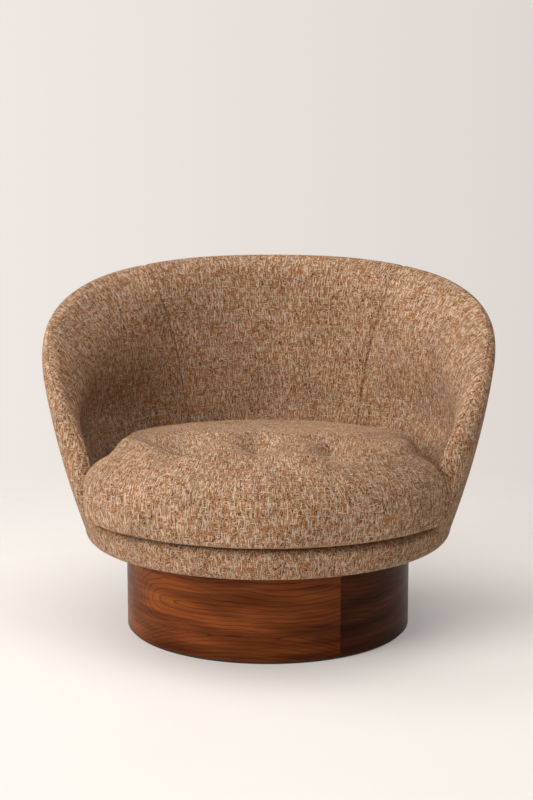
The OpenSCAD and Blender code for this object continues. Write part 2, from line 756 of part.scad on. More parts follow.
// The net of points is drawn aside a little, so that one of them lies in each tuft
net = [for (i = [0:turn_n - 1]) [for (k = [0:crown_steps]) plain_point(i, k)]];
function nearest(t) =
    let (
        far = [for (line = net) for (p = line) norm(p - t)],
        m = search(min(far), far)[0]
    )
    [floor(m / (crown_steps + 1)), m % (crown_steps + 1)];
tuft_nodes = [for (t = tufts) nearest(t)];
tuft_pull = [for (k = [0:len(tufts) - 1])
    let (p = net[tuft_nodes[k][0]][tuft_nodes[k][1]]) [p, tufts[k] - p]];
function pulled(p) = p + sum([for (m = tuft_pull) m[1] * exp(-pow(norm(p - m[0]) / pull_w, 2))]);
function crown_point(i, k, inset) =
    let (
        s = crown_share(k),
        p = pulled(net[i % turn_n][k]) - heading(i) * s * inset,
        mid = cushion_mid(p[1]),
        rise = cushion_top(p[1]) - mid - inset
    )
    [p[0], p[1], mid + rise * sqrt(1 - pow(s, crown_power)) - dip(p)];
function side_point(i, t, inset) =
    let (
        top = crown_point(i, crown_steps, inset),
        a = angle_of(top),
        low_z = cushion_z + inset,
        low_r = cushion_r(a, low_z, foot_draw, foot_lead) - inset,
        bow = mix(3, 1, wing_share(a, foot_lead)),
        r = mix(reach_of(top), low_r, pow(t, bow))
    )
    at(a, r, mix(top[2], low_z, t));
module cushion_form(inset) {
    ring_total = crown_steps + side_steps;
    rings = [for (k = [1:ring_total]) for (i = [0:turn_n - 1])
        k <= crown_steps ? crown_point(i, k, inset) : side_point(i, (k - crown_steps) / side_steps, inset)];
    function id(i, k) = 1 + (k - 1) * turn_n + i % turn_n;
    foot = 1 + ring_total * turn_n;
    faces = flat(concat(
        [[for (i = [0:turn_n - 1]) [0, id(i + 1, 1), id(i, 1)]]],
        [for (k = [1:ring_total - 1]) for (i = [0:turn_n - 1]) i < turn_n / 2
            ? quad(id(i, k), id(i + 1, k), id(i + 1, k + 1), id(i, k + 1))
            : quad(id(i + 1, k), id(i + 1, k + 1), id(i, k + 1), id(i, k))],
        [[for (i = [0:turn_n - 1]) [foot, id(i, ring_total), id(i + 1, ring_total)]]]
    ));
    polyhedron(points = concat([crown_point(0, 0, inset)], rings, [[0, 0, cushion_z + inset]]), faces = faces);
}
module at_tufts() {
    for (t = tufts) translate([t[0], t[1], 0]) children();
}
button_t = 3;
button_z = cushion_z + cover_t + gap;
module cushion_cover() {
    color(fabric) difference() {
        cushion_form(0);
        cushion_form(cover_t);
    }
}
module cushion_core() {
    color(foam) difference() {
        cushion_form(cover_t + gap);
        at_tufts() translate([0, 0, button_z - 1])
            cylinder(h = button_t + 1 + gap, d = button_d + 2 * gap, $fn = 48);
        at_tufts() translate([0, 0, button_z]) cylinder(h = back_h, d = twine_d + 2 * gap, $fn = 24);
    }
}
module tuft_buttons() {
    color(black) for (t = tufts) translate([t[0], t[1], 0])
        tube(button_z, button_t, button_d / 2, (button_d - twine_d - gap) / 2);
}
module tuft_twines() {
    color(foam) for (k = [0:len(tufts) - 1]) {
        top = crown_point(tuft_nodes[k][0], tuft_nodes[k][1], 0);
        translate([top[0], top[1], button_z])
            cylinder(h = top[2] - cover_t - 2 * gap - button_z, d = twine_d, $fn = 24);
    }
}

foot_board();
plinth_wall();
veneer_front();
veneer_right();
veneer_back();
veneer_left();
plinth_top_panel();
plinth_blocks();
swivel_lower_plate();
swivel_pivot();
pivot_washer();
pivot_nut();
lower_plate_screws();
ball_cage();
swivel_balls();
swivel_upper_plate();
upper_plate_bolts();
bolt_tee_nuts();
seat_board();
seat_rail_front();
seat_rail_right();
seat_rail_back();
seat_rail_left();
rail_blocks();
frame_ribs();
top_rail();
inner_liner();
outer_liner();
webbing_lengthwise();
webbing_crosswise();
deck_insulator();
deck_pad();
deck_cover();
inside_back_pad();
inside_arm_pad_right();
inside_arm_pad_left();
front_band_pad();
outside_back_wadding();
outside_wadding_right();
outside_wadding_left();
front_band_wadding();
inside_back_cover();
inside_arm_cover_right();
inside_arm_cover_left();
front_band_cover();
outside_cover_right();
outside_back_cover();
outside_cover_left();
dust_cover();
cover_staples();
cushion_core();
cushion_cover();
tuft_twines();
tuft_buttons();
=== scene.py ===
import json
import math

import bpy
import numpy as np
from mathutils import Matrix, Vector
from mathutils.kdtree import KDTree


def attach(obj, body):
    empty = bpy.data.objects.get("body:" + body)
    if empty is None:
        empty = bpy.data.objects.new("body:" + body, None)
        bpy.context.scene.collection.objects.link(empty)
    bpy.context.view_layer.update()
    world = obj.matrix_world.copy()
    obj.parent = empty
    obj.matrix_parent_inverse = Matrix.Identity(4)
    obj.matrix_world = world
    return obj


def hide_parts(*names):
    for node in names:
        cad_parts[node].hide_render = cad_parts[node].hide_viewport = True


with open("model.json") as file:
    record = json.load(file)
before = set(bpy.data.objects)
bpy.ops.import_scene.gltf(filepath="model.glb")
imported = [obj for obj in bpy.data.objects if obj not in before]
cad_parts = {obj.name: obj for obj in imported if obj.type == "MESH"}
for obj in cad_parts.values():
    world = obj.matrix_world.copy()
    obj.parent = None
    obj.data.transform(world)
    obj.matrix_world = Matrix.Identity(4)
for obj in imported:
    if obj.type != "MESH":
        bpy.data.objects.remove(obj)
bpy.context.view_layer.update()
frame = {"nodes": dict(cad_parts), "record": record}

MM = 0.001

# Camera and stage
EYE_DISTANCE = 3.0225
EYE_HEIGHT = 0.930
EYE_PITCH = math.radians(9.36)
EYE_TURN = math.radians(2.3)
FOCAL_PX = 1617
AXIS_OFFSET_PX = 1.4
FRAME_PX = (533, 800)
SENSOR_MM = 36

# Body of the chair, as in the part's source
BACK_H = 680 * MM
FOOT_R = 339 * MM
CROWN_R = 434 * MM
BULGE = 94 * MM
BACK_FLAT = 0.10
CORNER_R = 26 * MM
BAND_T = 28 * MM
WALL_T = 66 * MM
ARM_DEG = 62
TOE_R = 20 * MM
ARM_SQUARE = 2.67
ARM_ROUND = 1.02
SEAM_DEG = 137
SEAM_LEAN = 7.5
HEM_W = 24 * MM
UNDER_Z = 171 * MM
BAND_Z = 233 * MM
CORNER_Z = 197 * MM
DECK_Z = 212.4 * MM
PAD_T = 19 * MM
SOFT_GAP = 2.3 * MM
WADDING_DEPTH = 8.3 * MM
ARM_Z = BAND_Z + TOE_R
INNER_DRAW = 2.8
OUTER_R = 16 * MM
CREST_IN = 1.6
CREST_TURN_Z = 490 * MM
SWELL = 28 * MM
SWELL_FROM = 365 * MM
SWELL_RISE = 130 * MM
SWELL_REACH = 100 * MM
PAD_FADE_DEG = 122
PAD_FADE_TURN = 22
PAD_AT_BACK = 0.3
SEAM_SINK = 3.4 * MM
SEAM_W = 3.2 * MM
CRUSH = 4.5 * MM

# Cushion, as in the part's source
CUSHION_Z = 233.9 * MM
CUSHION_H = 158 * MM
CUSHION_FALL = 37 * MM
CUSHION_FRONT_R = 376 * MM
CUSHION_GAP = 1.6 * MM
WING_GAP_DEG = 1.4
WING_TURN = 4.5
FOOT_LEAD = 1.2
FOOT_DRAW = 20 * MM
CROWN_MEAN_R = 334 * MM
CROWN_POWER = 6
MID_SHARE = 0.42
TUFTS = [(x * MM, -168 * MM) for x in (-146, -10, 126)]
TUFT_DEPTH = 30 * MM
TUFT_WIDE = 32 * MM
TUFT_NARROW = 17 * MM
SCALLOP_W = 34 * MM
CREASE = 7 * MM
CREASE_LENGTH = 60 * MM
CREASE_STEEP = 11 * MM
CREASE_SOFT = 26 * MM
VALLEY = 15 * MM
VALLEY_R = 232 * MM
VALLEY_W = 32 * MM
RIDGE = 17 * MM
RIDGE_R = 288 * MM
RIDGE_W = 30 * MM


def mix(a, b, t):
    return a + (b - a) * t


def smooth(t):
    t = np.clip(t, 0, 1)
    return t * t * (3 - 2 * t)


def unit(v):
    return v / np.linalg.norm(v, axis=-1, keepdims=True)


def at(a, r, z):
    a, r, z = np.broadcast_arrays(a, r, z)
    return np.stack([r * np.sin(np.radians(a)), -r * np.cos(np.radians(a)), z], -1)


def angle_of(p):
    return np.degrees(np.arctan2(p[..., 0], -p[..., 1]))


def reach_of(p):
    return np.hypot(p[..., 0], p[..., 1])


# Outer face of the wall, its thickness and its rim
def flare(z):
    t = (z - UNDER_Z) / (BACK_H - UNDER_Z)
    return mix(FOOT_R, CROWN_R, t) + BULGE * t * (1 - t)


def out_r(a, z):
    back = np.maximum(0, -np.cos(np.radians(a)))
    return (1 - BACK_FLAT * back ** 2) * flare(z)


def wall_thick(z):
    return mix(BAND_T, WALL_T, np.sqrt(np.clip((z - BAND_Z) / (BACK_H - BAND_Z), 0, None)))


def rim_turn(a):
    return np.arccos(np.clip(((180 - a) / (180 - ARM_DEG)) ** (ARM_SQUARE / 2), 0, 1))


def rim_z(a):
    a = np.maximum(a, ARM_DEG)
    return ARM_Z + (BACK_H - ARM_Z) * np.sin(rim_turn(a)) ** ARM_ROUND


def half_rim():
    """Angle and height of the rim from the front centre to the back centre, in fine steps."""
    toe_deg = np.degrees(TOE_R / FOOT_R)
    turn = np.linspace(0, np.pi / 2, 60)
    band = np.linspace(0, ARM_DEG - toe_deg, 700)[:-1]
    toe_a = ARM_DEG - toe_deg * (1 - np.sin(turn))
    toe_z = BAND_Z + TOE_R * (1 - np.cos(turn))
    steps = np.linspace(0, 1, 1500)[1:]
    sweep = steps * np.pi / 2
    arm_a = 180 - (180 - ARM_DEG) * np.cos(sweep) ** (2 / ARM_SQUARE)
    arm_zs = ARM_Z + (BACK_H - ARM_Z) * np.sin(sweep) ** ARM_ROUND
    return np.concatenate([band, toe_a, arm_a]), np.concatenate([np.full_like(band, BAND_Z), toe_z, arm_zs])


half_a, half_z = half_rim()
fine_a = np.concatenate([-half_a[:0:-1], half_a])
fine_z = np.concatenate([half_z[:0:-1], half_z])
fine_mid = at(fine_a, out_r(np.abs(fine_a), fine_z) - wall_thick(fine_z) / 2, fine_z)
fine_s = np.concatenate([[0], np.cumsum(np.linalg.norm(np.diff(fine_mid, axis=0), axis=1))])
fine_s -= fine_s[len(fine_s) // 2]
fine_along = unit(np.gradient(fine_mid, fine_s, axis=0))
fine_level = np.hypot(fine_along[:, 0], fine_along[:, 1])
fine_turned = np.concatenate([[0], np.cumsum(np.diff(fine_s) * (fine_level[1:] + fine_level[:-1]) / 2)])
fine_turned -= fine_turned[len(fine_turned) // 2]


def stop_at(angle):
    """Length along the rim from the front centre to an angle on the right side."""
    half = len(fine_s) // 2
    return np.interp(angle, fine_a[half:], fine_s[half:])


ARM_S = stop_at(ARM_DEG)
SEAM_S = stop_at(SEAM_DEG)
BACK_S = fine_s[-1]


def stops(start, end, step=9 * MM):
    """Columns between two seams, close together at both of them."""
    near = np.array([0, 1.2, 2.6, 4.4, 7]) * MM
    inner = np.linspace(start + 12 * MM, end - 12 * MM, int((end - start) / step))
    return np.concatenate([start + near, inner, end - near[::-1]])


def columns(s):
    """The wall's middle at the rim, the directions out and down, and the thickness."""
    s = (s + BACK_S) % (2 * BACK_S) - BACK_S
    a = np.interp(s, fine_s, fine_a)
    z = np.interp(s, fine_s, fine_z)
    mid = np.stack([np.interp(s, fine_s, fine_mid[:, k]) for k in range(3)], -1)
    along = unit(np.stack([np.interp(s, fine_s, fine_along[:, k]) for k in range(3)], -1))
    t = wall_thick(z)
    sideways = at(a + 0.5, out_r(a + 0.5, z) - t / 2, z) - at(a - 0.5, out_r(a - 0.5, z) - t / 2, z)
    up = at(a, out_r(a, z + 5 * MM) - t / 2, z + 5 * MM) - at(a, out_r(a, z - 5 * MM) - t / 2, z - 5 * MM)
    out = unit(np.cross(sideways, up))
    down = unit(np.cross(along, out))
    return mid + down * t[:, None] / 2, out, down, t


IN_N = 22
ROLL_N = 18
OUT_N = 22
CORNER_N = 7
HEM_N = 3


def roll_point(c, turn):
    """Point of the rolled rim: on the arms its crest lies far out above and far in towards the band."""
    mid, out, down, t = c
    share = arm_share(angle_of(mid))[:, None]
    half = t[:, None] / 2
    low = smooth((CREST_TURN_Z - mid[:, 2:3]) / 0.16)
    outer = mix(half, mix(np.minimum(half, OUTER_R), CREST_IN * half, low), share)
    tall = np.where(turn < 0, half * (1 + INNER_DRAW * share), outer)
    wide = np.where(turn < 0, 2 * half - outer, outer)
    turn = np.radians(turn)
    across = half - outer + wide * np.sin(turn)
    rise = half - tall * (1 - np.cos(turn))
    return mid[:, None] + out[:, None] * across[..., None] - down[:, None] * rise[..., None]


def arm_share(a):
    """How much of the arms' deep padding a place round the rim has."""
    a = np.abs(a)
    return smooth((a - ARM_DEG) / 7) * mix(1, PAD_AT_BACK, smooth((a - PAD_FADE_DEG) / PAD_FADE_TURN))


def rim_angle(z):
    """Angle at which the arm's front edge passes a height."""
    up = np.clip((z - ARM_Z) / (BACK_H - ARM_Z), 0, 1) ** (1 / ARM_ROUND)
    return 180 - (180 - ARM_DEG) * (1 - up ** 2) ** (1 / ARM_SQUARE)


def swell_at(a, z):
    """Extra depth of the arms' padding, growing with the distance from the rim."""
    a = np.abs(a)
    below = np.maximum(rim_z(a) - z, 1e-4)
    behind = np.maximum(np.radians(a - rim_angle(z)) * CROWN_R, 1e-4)
    inset = 1 / np.hypot(1 / below, 1 / behind)
    share = mix(1, PAD_AT_BACK, smooth((a - PAD_FADE_DEG) / PAD_FADE_TURN)) * (a > ARM_DEG)
    return SWELL * share * smooth(inset / SWELL_REACH) * smooth((z - SWELL_FROM) / SWELL_RISE)


def lean_at(a):
    b = np.abs(a)
    share = np.where(b < SEAM_DEG, (b - ARM_DEG) / (SEAM_DEG - ARM_DEG), (180 - b) / (180 - SEAM_DEG))
    return np.sign(a) * SEAM_LEAN * smooth(share)


def section_rows(c):
    """Points of the skin, column by column, from the deck over the rim and under the body."""
    ends = roll_point(c, np.tile([-90.0, 90.0], (len(c[0]), 1)))
    inner, outer = ends[:, 0], ends[:, 1]
    foot_a = angle_of(inner)[:, None]
    share = np.linspace(0, 1, IN_N + 1)[:-1]
    z_in = mix(DECK_Z, inner[:, 2:3], share)
    in_a = foot_a + lean_at(foot_a) * (1 - share ** 3)
    in_rows = at(in_a, reach_of(inner)[:, None] + out_r(in_a, z_in) - out_r(foot_a, inner[:, 2:3]), z_in)
    seam = seam_turn(c)
    half = ROLL_N // 2
    turns = np.concatenate([mix(-90, seam, np.linspace(0, 1, half + 1)[:-1]),
                            mix(seam, 90, np.linspace(0, 1, ROLL_N - half + 1))], 1)
    roll_rows = roll_point(c, turns)
    soft_rows = np.concatenate([in_rows, roll_rows[:, :half]], 1)
    soft_a = angle_of(soft_rows)
    swell = swell_at(soft_a, soft_rows[..., 2])
    soft_rows = at(soft_a, reach_of(soft_rows) - swell, soft_rows[..., 2])
    in_rows, roll_rows = soft_rows[:, :IN_N], np.concatenate([soft_rows[:, IN_N:], roll_rows[:, half:]], 1)
    out_a, out_reach = angle_of(outer)[:, None], reach_of(outer)[:, None]
    share = np.linspace(0, 1, OUT_N + 1)[1:]
    z_out = mix(outer[:, 2:3], CORNER_Z, share)
    lift = (out_reach - out_r(out_a, outer[:, 2:3])) * (1 - share) ** 2
    out_rows = at(out_a, out_r(out_a, z_out) + lift, z_out)
    bend = np.radians(np.linspace(0, 90, CORNER_N + 1)[1:])
    foot = out_r(out_a, CORNER_Z)
    corner_rows = at(out_a, foot - CORNER_R * (1 - np.cos(bend)), CORNER_Z - CORNER_R * np.sin(bend))
    hem = np.linspace(0, 1, HEM_N + 1)[1:]
    hem_rows = at(out_a, foot - CORNER_R - HEM_W * hem, np.full_like(foot, UNDER_Z))
    return np.concatenate([in_rows, roll_rows, out_rows, corner_rows, hem_rows], 1)


def seam_turn(c):
    """Where on the roll the two covers meet: on the crest at the arms, behind it at the back."""
    a = np.abs(angle_of(c[0]))[:, None]
    return mix(4, 34, smooth((a - 80) / 45))


SEAM_ROW = IN_N + ROLL_N // 2
ROLL_END = IN_N + ROLL_N


def panel_grid(start, end):
    s = stops(start, end)
    c = columns(s)
    skin = section_rows(c)
    d_along = np.gradient(skin, s, axis=0)
    d_down = np.gradient(skin, axis=1)
    normals = unit(np.cross(d_down, d_along))
    normals[:, 0, 2] = 0
    normals[:, 0] = unit(normals[:, 0])
    return {"s": s, "c": c, "skin": skin, "normals": normals, "start": start, "end": end}


def seam_depth(distance):
    return SEAM_SINK * np.exp(-(distance / SEAM_W) ** 2)


def rim_seam(c):
    """Share of a full seam's depth along the rim: hardly any on the arms, more on the back."""
    return mix(0.06, 0.35, smooth((np.abs(angle_of(c[0])) - 120) / 25))[:, None]


def developed(grid, middle_s, fan_r, unfolded):
    """Cloth coordinates in metres: the wall laid flat, with its warp fanned out upwards from middle_s."""
    s, skin = grid["s"], grid["skin"]
    wrapped = (s + BACK_S) % (2 * BACK_S) - BACK_S
    rounds = np.round((s - wrapped) / (2 * BACK_S))
    turned = np.interp(wrapped, fine_s, fine_turned) + rounds * 2 * fine_turned[-1]
    turned -= np.interp(middle_s, s, turned)
    level = np.interp(wrapped, fine_s, fine_level)
    climb = np.interp(wrapped, fine_s, fine_along[:, 2])
    step = np.diff(skin, axis=1)
    a = np.radians(angle_of(skin[:, 1:]))
    row = np.arange(step.shape[1])[None, :, None]
    on_wall = np.stack([step[..., 0] * np.cos(a) + step[..., 1] * np.sin(a), step[..., 2]], -1)
    over_roll = np.where(row < SEAM_ROW, -1, 1) * np.stack([climb, -level], -1)[:, None]
    way = np.where((row >= IN_N) & (row < ROLL_END), over_roll, on_wall)
    way = np.where(row >= ROLL_END + OUT_N, np.array([0, -1]), way)
    if unfolded:
        way = way * np.where(row < SEAM_ROW, np.array([1, -1]), 1)
    flat = np.cumsum(unit(way) * np.linalg.norm(step, axis=2, keepdims=True), 1)
    flat = np.concatenate([np.zeros_like(flat[:, :1]), flat], 1)
    flat += (np.stack([turned, grid["c"][0][:, 2]], -1) - flat[:, SEAM_ROW])[:, None]
    rho = fan_r - (flat[..., 1] - BAND_Z)
    fan = flat[..., 0] / fan_r
    return np.stack([rho * np.sin(fan), -rho * np.cos(fan)], -1)


def mesh_piece(name, verts, faces, material, uvs=None, smooth_faces=True):
    mesh = bpy.data.meshes.new(name)
    mesh.from_pydata(np.asarray(verts, float).reshape(-1, 3).tolist(), [], [list(map(int, f)) for f in faces])
    mesh.update()
    if uvs is not None:
        layer = mesh.uv_layers.new(name="cloth")
        index = np.zeros(len(mesh.loops), np.int64)
        mesh.loops.foreach_get("vertex_index", index)
        layer.data.foreach_set("uv", np.asarray(uvs, np.float32)[index].ravel())
    mesh.polygons.foreach_set("use_smooth", [smooth_faces] * len(mesh.polygons))
    piece = bpy.data.objects.new(name, mesh)
    bpy.context.scene.collection.objects.link(piece)
    if material:
        mesh.materials.append(material)
    return piece


def grid_faces(n, m, flip=False, offset=0, wrap=False):
    i, j = np.meshgrid(np.arange(n if wrap else n - 1), np.arange(m - 1), indexing="ij")
    k = (i + 1) % n
    quads = np.stack([i * m + j, k * m + j, k * m + j + 1, i * m + j + 1], -1).reshape(-1, 4) + offset
    return quads[:, ::-1] if flip else quads


def shell(name, upper, lower, material, uv_upper):
    """Closed soft form between two grids of points."""
    n, m = upper.shape[:2]
    size = n * m
    verts = np.concatenate([upper.reshape(-1, 3), lower.reshape(-1, 3)])
    rim = np.concatenate([np.arange(m), np.arange(1, n) * m + m - 1,
                          (n - 1) * m + np.arange(m - 2, -1, -1), np.arange(n - 2, 0, -1) * m])
    nxt = np.roll(rim, -1)
    sides = np.stack([nxt, rim, rim + size, nxt + size], -1)
    faces = np.concatenate([grid_faces(n, m, True), grid_faces(n, m, False, size), sides])
    uvs = np.concatenate([uv_upper.reshape(-1, 2), uv_upper.reshape(-1, 2)])
    piece = mesh_piece(name, verts, faces, material, uvs)
    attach(piece, "seat")
    return piece


def panel(name, grid, rows, material, nodes, middle_s, fan_r, seams):
    """Upholstered panel with its padding, sunk a little along its seams."""
    row0, row1 = rows
    skin = grid["skin"][:, row0:row1 + 1]
    normals = grid["normals"][:, row0:row1 + 1]
    uvs = developed(grid, middle_s, fan_r, "start" not in seams and "end" not in seams)[:, row0:row1 + 1]
    t = grid["c"][3][:, None]
    share = np.clip((np.arange(row0, row1 + 1) - IN_N) / ROLL_N, 0, 1)[None]
    swell = swell_at(angle_of(skin), skin[..., 2]) * (share < 0.5)
    pad = mix(SOFT_GAP + PAD_T * t / WALL_T, WADDING_DEPTH, share) - 0.8 * MM + swell
    pressed = smooth((ARM_DEG - np.abs(angle_of(skin))) / 5) * np.sin(np.pi * share)
    sink = CRUSH * pressed if row1 > SEAM_ROW > row0 else np.zeros(skin.shape[:2])
    if "start" in seams:
        sink += seam_depth(grid["s"] - grid["start"])[:, None]
    if "end" in seams:
        sink += seam_depth(grid["end"] - grid["s"])[:, None]
    if "rim" in seams:
        step = np.linalg.norm(np.diff(grid["skin"], axis=1), axis=2)
        length = np.concatenate([np.zeros((len(skin), 1)), np.cumsum(step, 1)], 1)
        away = np.abs(length - length[:, SEAM_ROW:SEAM_ROW + 1])[:, row0:row1 + 1]
        sink = np.maximum(sink, rim_seam(grid["c"]) * seam_depth(away))
    upper = skin - normals * sink[..., None]
    lower = skin - normals * np.maximum(pad, sink + 1 * MM)[..., None]
    piece = shell(name, upper, lower, material, uvs)
    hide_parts(*nodes)


# Procedural materials
class Net:
    """Short names for building a material's nodes."""

    def __init__(self, name):
        self.material = bpy.data.materials.new(name)
        self.material.use_nodes = True
        self.tree = self.material.node_tree
        self.bsdf = self.tree.nodes["Principled BSDF"]

    def node(self, kind, inputs=(), **settings):
        made = self.tree.nodes.new(kind)
        for key, value in settings.items():
            setattr(made, key, value)
        for key, value in dict(inputs).items():
            self.put(made.inputs[key], value)
        return made

    def put(self, socket, value):
        if isinstance(value, bpy.types.NodeSocket):
            self.tree.links.new(value, socket)
        else:
            socket.default_value = value

    def math(self, operation, a, b=0.0, c=0.0):
        made = self.node("ShaderNodeMath", {0: a, 1: b, 2: c}, operation=operation)
        return made.outputs[0]

    def vector(self, x, y, z=0.0):
        return self.node("ShaderNodeCombineXYZ", {0: x, 1: y, 2: z}).outputs[0]

    def split(self, vector):
        return self.node("ShaderNodeSeparateXYZ", {0: vector}).outputs

    def noise(self, vector, scale=1.0, detail=2.0, rough=0.5, distort=0.0):
        made = self.node("ShaderNodeTexNoise", {"Vector": vector, "Scale": scale, "Detail": detail,
                                                "Roughness": rough, "Distortion": distort})
        return made.outputs["Fac"]

    def white(self, vector):
        made = self.node("ShaderNodeTexWhiteNoise", {"Vector": vector}, noise_dimensions="2D")
        return made.outputs["Value"]

    def ramp(self, value, stops, smooth_steps=False):
        made = self.node("ShaderNodeValToRGB", {"Fac": value})
        made.color_ramp.interpolation = "EASE" if smooth_steps else "LINEAR"
        ramp = made.color_ramp.elements
        while len(ramp) < len(stops):
            ramp.new(1.0)
        for element, (place, colour) in zip(ramp, stops):
            element.position = place
            element.color = (*colour, 1)
        return made.outputs["Color"]

    def blend(self, factor, a, b, kind="MIX"):
        made = self.node("ShaderNodeMix", data_type="RGBA", blend_type=kind)
        for socket, value in ((made.inputs[0], factor), (made.inputs[6], a), (made.inputs[7], b)):
            if isinstance(value, tuple):
                value = (*value, 1)
            self.put(socket, value)
        return made.outputs[2]

    def range(self, value, low, high, out_low=0.0, out_high=1.0):
        made = self.node("ShaderNodeMapRange", {0: value, 1: low, 2: high, 3: out_low, 4: out_high})
        return made.outputs[0]

    def bump(self, height, distance, strength=1.0):
        made = self.node("ShaderNodeBump", {"Height": height, "Distance": distance, "Strength": strength})
        self.put(self.bsdf.inputs["Normal"], made.outputs[0])

    def position(self):
        return self.node("ShaderNodeTexCoord").outputs["Object"]

    def finish(self, colour, rough, **constants):
        self.put(self.bsdf.inputs["Base Color"], (*colour, 1) if isinstance(colour, tuple) else colour)
        self.put(self.bsdf.inputs["Roughness"], rough)
        for key, value in constants.items():
            self.bsdf.inputs[key.replace("_", " ")].default_value = value
        return self.material


THREAD = 1.5 * MM
DARK = (0.055, 0.020, 0.008)
BROWN = (0.17, 0.068, 0.026)
RUST = (0.42, 0.150, 0.042)
TAN = (0.495, 0.280, 0.138)
SAND = (0.63, 0.415, 0.25)
PALE = (1.0, 0.86, 0.70)
YARN = [(0.50, DARK), (0.60, BROWN), (0.66, RUST), (0.73, TAN), (0.88, SAND)]


def tweed(name, tone=1.0):
    """Coarse tweed: a plain weave whose slubby warp carries pale, rust and dark flecks."""
    net = Net(name)
    uv = net.split(net.node("ShaderNodeUVMap", uv_map="cloth").outputs[0])
    u, v = uv[0], uv[1]
    wobble = net.math("MULTIPLY", net.noise(net.vector(u, v), 12, 1), 1.8 * THREAD)
    across = net.math("DIVIDE", net.math("ADD", u, wobble), THREAD)
    wobble_v = net.math("MULTIPLY", net.noise(net.vector(v, u), 12, 1), 1.8 * THREAD)
    down = net.math("DIVIDE", net.math("ADD", v, wobble_v), THREAD)
    warp = net.math("FLOOR", across)
    weft = net.math("FLOOR", down)
    over = net.math("FLOORED_MODULO", net.math("ADD", warp, weft), 2.0)
    slub = net.noise(net.vector(net.math("MULTIPLY", warp, 7.31), net.math("DIVIDE", v, 15 * MM)), 1, 3, 0.6)
    dash = net.noise(net.vector(net.math("DIVIDE", u, 13 * MM), net.math("MULTIPLY", weft, 5.17)), 1, 2, 0.6)
    knot = net.white(net.vector(warp, weft))
    warp_tone = net.math("ADD", net.math("MULTIPLY_ADD", slub, 1.35, -0.15), net.math("MULTIPLY", knot, 0.40))
    weft_tone = net.math("ADD", net.math("MULTIPLY_ADD", dash, 1.2, -0.1), net.math("MULTIPLY", knot, 0.42))
    warp_colour = net.ramp(warp_tone, YARN)
    weft_colour = net.ramp(weft_tone, YARN)
    woven = net.blend(net.math("MULTIPLY", over, 0.56), warp_colour, weft_colour)
    long_dash = net.noise(net.vector(net.math("MULTIPLY", warp, 3.77), net.math("DIVIDE", v, 15 * MM)), 1, 1)
    cross_dash = net.noise(net.vector(net.math("DIVIDE", u, 12 * MM), net.math("MULTIPLY", weft, 4.13)), 1, 1)
    pale = net.math("MAXIMUM", net.range(long_dash, 0.55, 0.63), net.range(cross_dash, 0.60, 0.68))
    patch = net.noise(net.vector(net.math("DIVIDE", u, 10 * MM), net.math("DIVIDE", v, 20 * MM)), 1, 2, 0.55)
    woven = net.blend(net.range(patch, 0.50, 0.64, 0.0, 0.60), woven, (0.47, 0.180, 0.058))
    woven = net.blend(net.range(patch, 0.48, 0.36, 0.0, 0.40), woven, (0.46, 0.345, 0.245))
    woven = net.blend(net.math("MULTIPLY", pale, 0.56), woven, PALE)
    fade = net.noise(net.vector(u, v), 14, 3)
    faded = net.ramp(fade, [(0.3, (0.88 * tone,) * 3), (0.7, (1.12 * tone,) * 3)])
    woven = net.blend(1.0, woven, faded, "MULTIPLY")
    dome_u = net.math("SINE", net.math("MULTIPLY", net.math("FRACT", across), math.pi))
    dome_v = net.math("SINE", net.math("MULTIPLY", net.math("FRACT", down), math.pi))
    dome = net.math("MULTIPLY", dome_u, dome_v)
    fuzz = net.noise(net.vector(u, v), 900, 2)
    height = net.math("ADD", dome, net.math("MULTIPLY", fuzz, 0.6))
    # Painted shade: each thread is darker towards its edges and in the gaps between threads.
    shade = net.ramp(dome, [(0.0, (0.50, 0.46, 0.43)), (0.6, (1, 1, 1))])
    woven = net.blend(1.0, woven, shade, "MULTIPLY")
    net.bump(height, 0.8 * MM, 0.8)
    return net.finish(woven, 0.92, Specular_IOR_Level=0.1, Sheen_Weight=0.04, Sheen_Roughness=0.5)


DRUM_R = 0.27


def stretched_noise(net, u, z, u_scale, z_scale, seed, detail):
    place = net.vector(net.math("MULTIPLY", u, u_scale), net.math("MULTIPLY", z, z_scale), seed)
    return net.noise(place, 1.0, detail)


